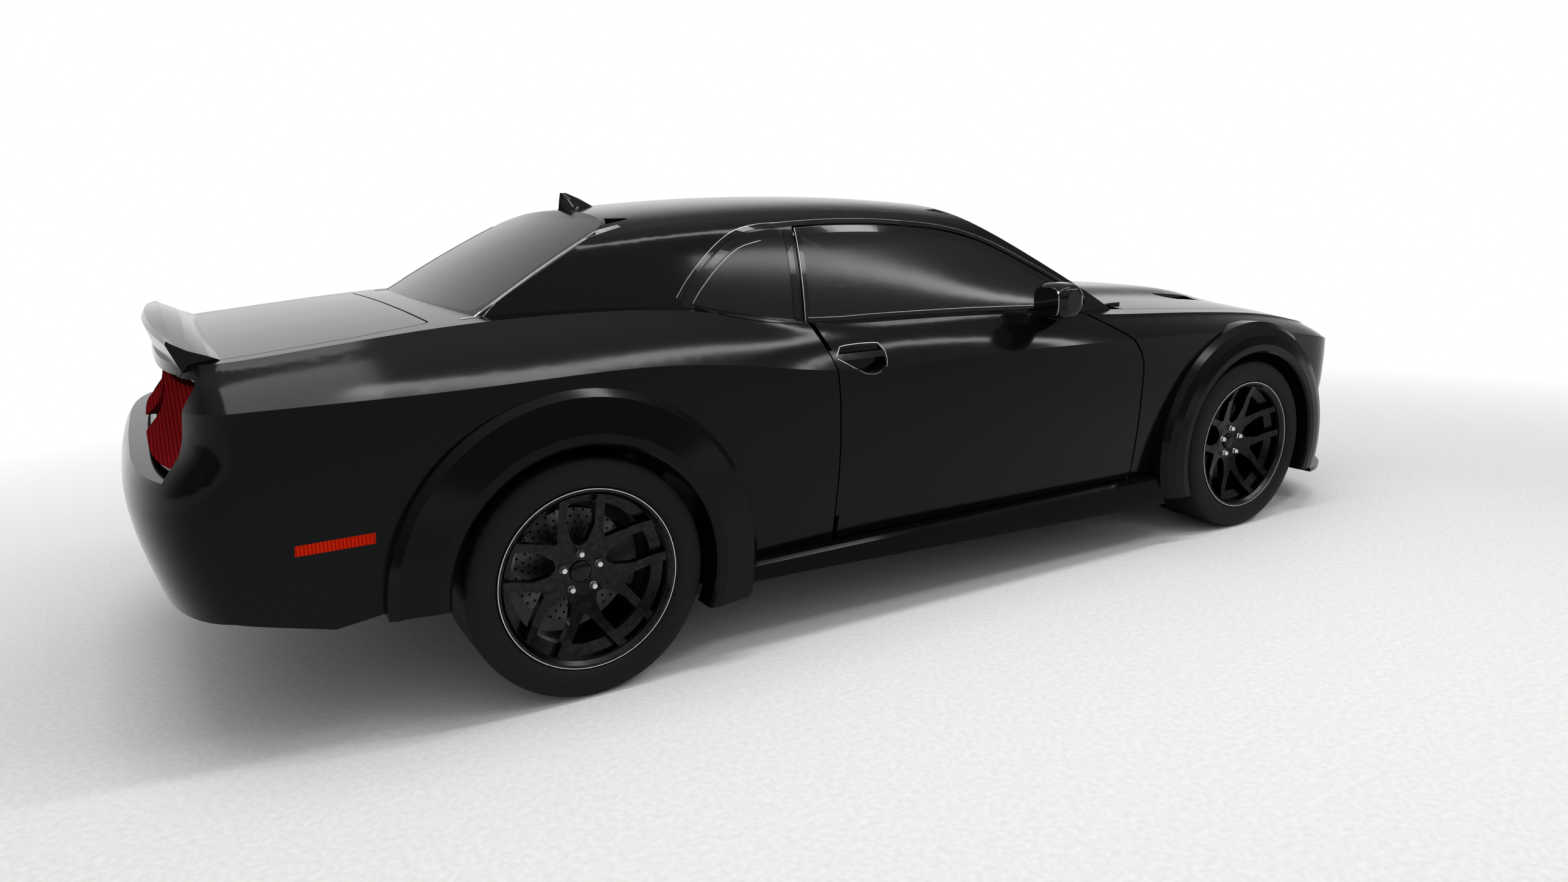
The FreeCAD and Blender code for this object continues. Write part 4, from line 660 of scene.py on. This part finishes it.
# CAD nodes
def dress_nodes(materials):
    """Each CAD node takes its own material, or else that of its slot in the record."""
    slots = {s["node"]: s["material_slot"] for s in frame["record"]["subparts"]}
    own = {name: materials["side_glass"] for name in SIDE_GLASS}
    for wheel, _, x, _ in WHEELS:
        own["tyre_" + wheel] = tread("tyre_tread_" + wheel, x)
        own["brake_disc_" + wheel] = drilled("disc_face_" + wheel, x)
    for name, node in nodes.items():
        node.data.materials.clear()
        node.data.materials.append(own[name] if name in own else materials[slots[name]])
    for wheel, _, _, _ in WHEELS:
        bevel = nodes["rim_" + wheel].modifiers.new("edges", "BEVEL")
        bevel.width = RIM_BEVEL
        bevel.segments = RIM_BEVEL_STEPS
        bevel.limit_method = "ANGLE"
        bevel.angle_limit = math.radians(RIM_BEVEL_ANGLE)


# Pieces
def add_piece(name, vertices, faces, material, body, smooth=False):
    mesh = bpy.data.meshes.new(name)
    mesh.from_pydata([tuple(v) for v in vertices], [], faces)
    mesh.validate()
    mesh.update()
    for polygon in mesh.polygons:
        polygon.use_smooth = smooth
    mesh.materials.append(material)
    piece = bpy.data.objects.new(name, mesh)
    scene.collection.objects.link(piece)
    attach(piece, body)


def add_pair(name, vertices, faces, material, bodies):
    """A piece for the right side and its mirror image for the left."""
    add_piece(name + "_right", vertices, faces, material, bodies[0])
    vertices = [Vector((v.x, -v.y, v.z)) for v in vertices]
    faces = [tuple(reversed(f)) for f in faces]
    add_piece(name + "_left", vertices, faces, material, bodies[1])


def surface_of(names):
    """A search tree over the CAD nodes' surfaces."""
    vertices, faces = [], []
    for name in names:
        mesh = nodes[name].data
        first = len(vertices)
        vertices += [v.co.copy() for v in mesh.vertices]
        faces += [[first + i for i in p.vertices] for p in mesh.polygons]
    return BVHTree.FromPolygons(vertices, faces)


def touch(surface, view, a, b):
    """Where a ray of the view meets the surface, with the normal that faces the viewer."""
    start, direction, axes = VIEWS[view]
    origin = start.copy()
    origin[axes[0]] = a
    origin[axes[1]] = b
    place, normal, _, _ = surface.ray_cast(origin, direction)
    if place is None:
        return None, None
    if normal.dot(direction) > 0.0:
        normal = -normal
    return place, normal


def smooth_path(points):
    """Points along a curve through the given ones, in metres from millimetres."""
    pts = [Vector((a / 1000.0, b / 1000.0)) for a, b in points]
    found = []
    for i in range(len(pts) - 1):
        p0 = pts[max(i - 1, 0)]
        p1, p2 = pts[i], pts[i + 1]
        p3 = pts[min(i + 2, len(pts) - 1)]
        count = max(1, int((p2 - p1).length / PATH_STEP))
        for k in range(count):
            t = k / count
            found.append(0.5 * (2.0 * p1 + (p2 - p0) * t + (2.0 * p0 - 5.0 * p1 + 4.0 * p2 - p3) * t * t
                                + (3.0 * p1 - p0 - 3.0 * p2 + p3) * t ** 3))
    found.append(pts[-1])
    return found


def moved_path(points, shift):
    """A path moved sideways, to its left."""
    found = []
    for i in range(len(points)):
        ahead = points[min(i + 1, len(points) - 1)] - points[max(i - 1, 0)]
        ahead.normalize()
        found.append(points[i] + Vector((-ahead.y, ahead.x)) * shift)
    return found


def ribbon_mesh(surface, view, path, width, lift):
    """A strip laid on a surface along a path: its top stands off by the lift."""
    stations = []
    left, right = moved_path(path, width / 2.0), moved_path(path, -width / 2.0)
    for a, b in zip(left, right):
        place_a, normal_a = touch(surface, view, a.x, a.y)
        place_b, normal_b = touch(surface, view, b.x, b.y)
        if place_a is None or place_b is None:
            continue
        if (place_a - place_b).length > JUMP_WIDTHS * width + JUMP_SLACK:
            continue
        stations.append([place_a - normal_a * STRIP_ROOT, place_a + normal_a * lift,
                         place_b + normal_b * lift, place_b - normal_b * STRIP_ROOT])
    vertices = [v for station in stations for v in station]
    faces = []
    for i in range(len(stations) - 1):
        a, b = 4 * i, 4 * (i + 1)
        for k in range(4):
            faces.append((a + k, a + (k + 1) % 4, b + (k + 1) % 4, b + k))
    if stations:
        last = 4 * (len(stations) - 1)
        faces += [(3, 2, 1, 0), (last, last + 1, last + 2, last + 3)]
    return vertices, faces


def lathe(profile, centre, axis, segments, vertices, faces):
    """Adds a profile of (radius, height) turned about an axis to the lists."""
    axis = Vector(axis).normalized()
    side = axis.orthogonal().normalized()
    up = axis.cross(side)
    first = len(vertices)
    for radius, height in profile:
        for k in range(segments):
            turn = 2.0 * math.pi * k / segments
            vertices.append(Vector(centre) + axis * height
                            + (side * math.cos(turn) + up * math.sin(turn)) * radius)
    for i in range(len(profile) - 1):
        for k in range(segments):
            a = first + i * segments + k
            b = first + i * segments + (k + 1) % segments
            faces.append((a, b, b + segments, a + segments))


def block(corner_a, corner_b, vertices, faces):
    """Adds a box between two corners to the lists."""
    first = len(vertices)
    for x in (corner_a[0], corner_b[0]):
        for y in (corner_a[1], corner_b[1]):
            for z in (corner_a[2], corner_b[2]):
                vertices.append(Vector((x, y, z)))
    for f in ((0, 1, 3, 2), (4, 6, 7, 5), (0, 4, 5, 1), (2, 3, 7, 6), (0, 2, 6, 4), (1, 5, 7, 3)):
        faces.append(tuple(first + i for i in f))


def make_strips(materials, surfaces):
    for name, carrier, view, points, shift, width, lift, material, bodies in STRIPS:
        path = moved_path(smooth_path(points), shift / 1000.0)
        vertices, faces = ribbon_mesh(surfaces[carrier], view, path, width / 1000.0, lift / 1000.0)
        add_pair(name, vertices, faces, materials[material], bodies)


def make_wipers(materials, surfaces):
    for name, points in WIPERS:
        vertices, faces = ribbon_mesh(surfaces["screen"], "top", smooth_path(points), WIPER_WIDTH,
                                      WIPER_HEIGHT)
        add_piece(name, vertices, faces, materials["grille_trim"], "car_body")


def make_wheel_pieces(materials):
    """Lug nuts, centre cap and a thin bright metal ring on the lip of each rim, a painted highlight of
    the lip.
    """
    for wheel, body, x, side in WHEELS:
        face = side * (TRACK_HALF + HUB_FACE)
        outward = (0.0, side, 0.0)
        vertices, faces = [], []
        for k in range(NUT_COUNT):
            turn = math.radians(NUT_START + 360.0 / NUT_COUNT * k)
            centre = (x + NUT_CIRCLE * math.cos(turn), face, AXLE_Z + NUT_CIRCLE * math.sin(turn))
            lathe(NUT_PROFILE, centre, outward, NUT_SIDES, vertices, faces)
        add_piece("lug_nuts_" + wheel, vertices, faces, materials["nut_steel"], body)
        vertices, faces = [], []
        lathe(CAP_PROFILE, (x, face, AXLE_Z), outward, CAP_SIDES, vertices, faces)
        add_piece("centre_cap_" + wheel, vertices, faces, materials["gloss_trim"], body,
                  True)
        vertices, faces = [], []
        # Painted highlight: a thin bright metal ring on the black rim's lip
        lathe(LIP_PROFILE, (x, side * (TRACK_HALF + LIP_FACE), AXLE_Z), outward, LIP_SIDES, vertices,
              faces)
        add_piece("rim_lip_highlight_" + wheel, vertices, faces, materials["bright_trim"], body)


def make_mirror_faces(materials):
    outline = []
    for k in range(MIRROR_SIDES):
        turn = 2.0 * math.pi * k / MIRROR_SIDES
        across, up = (math.copysign(abs(value) ** MIRROR_ROUNDNESS, value)
                      for value in (math.cos(turn), math.sin(turn)))
        outline.append((MIRROR_CENTRE[0] + MIRROR_HALF[0] * across,
                        MIRROR_CENTRE[1] + MIRROR_HALF[1] * up))
    vertices = [Vector((x, y, z)) for x in MIRROR_PLANES for y, z in outline]
    faces = [tuple(range(MIRROR_SIDES)), tuple(reversed(range(MIRROR_SIDES, 2 * MIRROR_SIDES)))]
    for k in range(MIRROR_SIDES):
        j = (k + 1) % MIRROR_SIDES
        faces.append((k, MIRROR_SIDES + k, MIRROR_SIDES + j, j))
    add_pair("mirror_face", vertices, faces, materials["mirror_face"], DOORS)


def make_front_pieces(materials):
    """Mesh over the nose's openings, and the rims of the round lamps."""
    vertices, faces = [], []
    for x, half, low, high, uprights, levels in WIRE_MESHES:
        front = x + WIRE_DEPTH
        for k in range(-uprights, uprights + 1):
            y = WIRE_PITCH * k
            block((x, y - WIRE_HALF, low), (front, y + WIRE_HALF, high), vertices, faces)
        for k in range(levels):
            z = low + WIRE_MARGIN + WIRE_PITCH * k
            block((x, -half, z - WIRE_HALF), (front, half, z + WIRE_HALF), vertices, faces)
    add_piece("nose_mesh", vertices, faces, materials["grille_trim"], "car_body")
    vertices, faces = [], []
    for y in LAMP_PLACES:
        lathe(LAMP_RIM_PROFILE, (LAMP_FACE_X, y, LAMP_Z), (1.0, 0.0, 0.0), LAMP_RIM_SIDES, vertices,
              faces)
    add_piece("lamp_rims", vertices, faces, materials["bright_trim"], "car_body")


def make_rear_pieces(materials, surfaces):
    """The blank plate on the bumper, with its two screws."""
    low, _ = touch(surfaces["bumper"], "rear", 0.0, PLATE_LOW)
    high, _ = touch(surfaces["bumper"], "rear", 0.0, PLATE_HIGH)
    up = (high - low).normalized()
    out = Vector((-up.z, 0.0, up.x))
    corners = ((-PLATE_HALF, low), (PLATE_HALF, low), (PLATE_HALF, high), (-PLATE_HALF, high))
    vertices = [place + out * lift + Vector((0.0, y, 0.0))
                for lift in PLATE_FACES for y, place in corners]
    faces = [(0, 1, 2, 3), (7, 6, 5, 4), (0, 4, 5, 1), (1, 5, 6, 2), (2, 6, 7, 3), (3, 7, 4, 0)]
    add_piece("blank_plate", vertices, faces, materials["plate_blank"], "car_body")
    vertices, faces = [], []
    for y in SCREW_PLACES:
        centre = high - up * SCREW_DROP + out * PLATE_FACES[1] + Vector((0.0, y, 0.0))
        lathe(SCREW_PROFILE, centre, out, SCREW_SIDES, vertices, faces)
    add_piece("plate_screws", vertices, faces, materials["nut_steel"], "car_body")


make_camera()
make_world()
make_floor()
for lamp in LAMPS:
    make_lamp(*lamp)
materials = make_materials()
dress_nodes(materials)
surfaces = {carrier: surface_of(names) for carrier, names in CARRIERS.items()}
make_strips(materials, surfaces)
make_wipers(materials, surfaces)
make_wheel_pieces(materials)
make_mirror_faces(materials)
make_front_pieces(materials)
make_rear_pieces(materials, surfaces)

scene.view_settings.view_transform = "Standard"
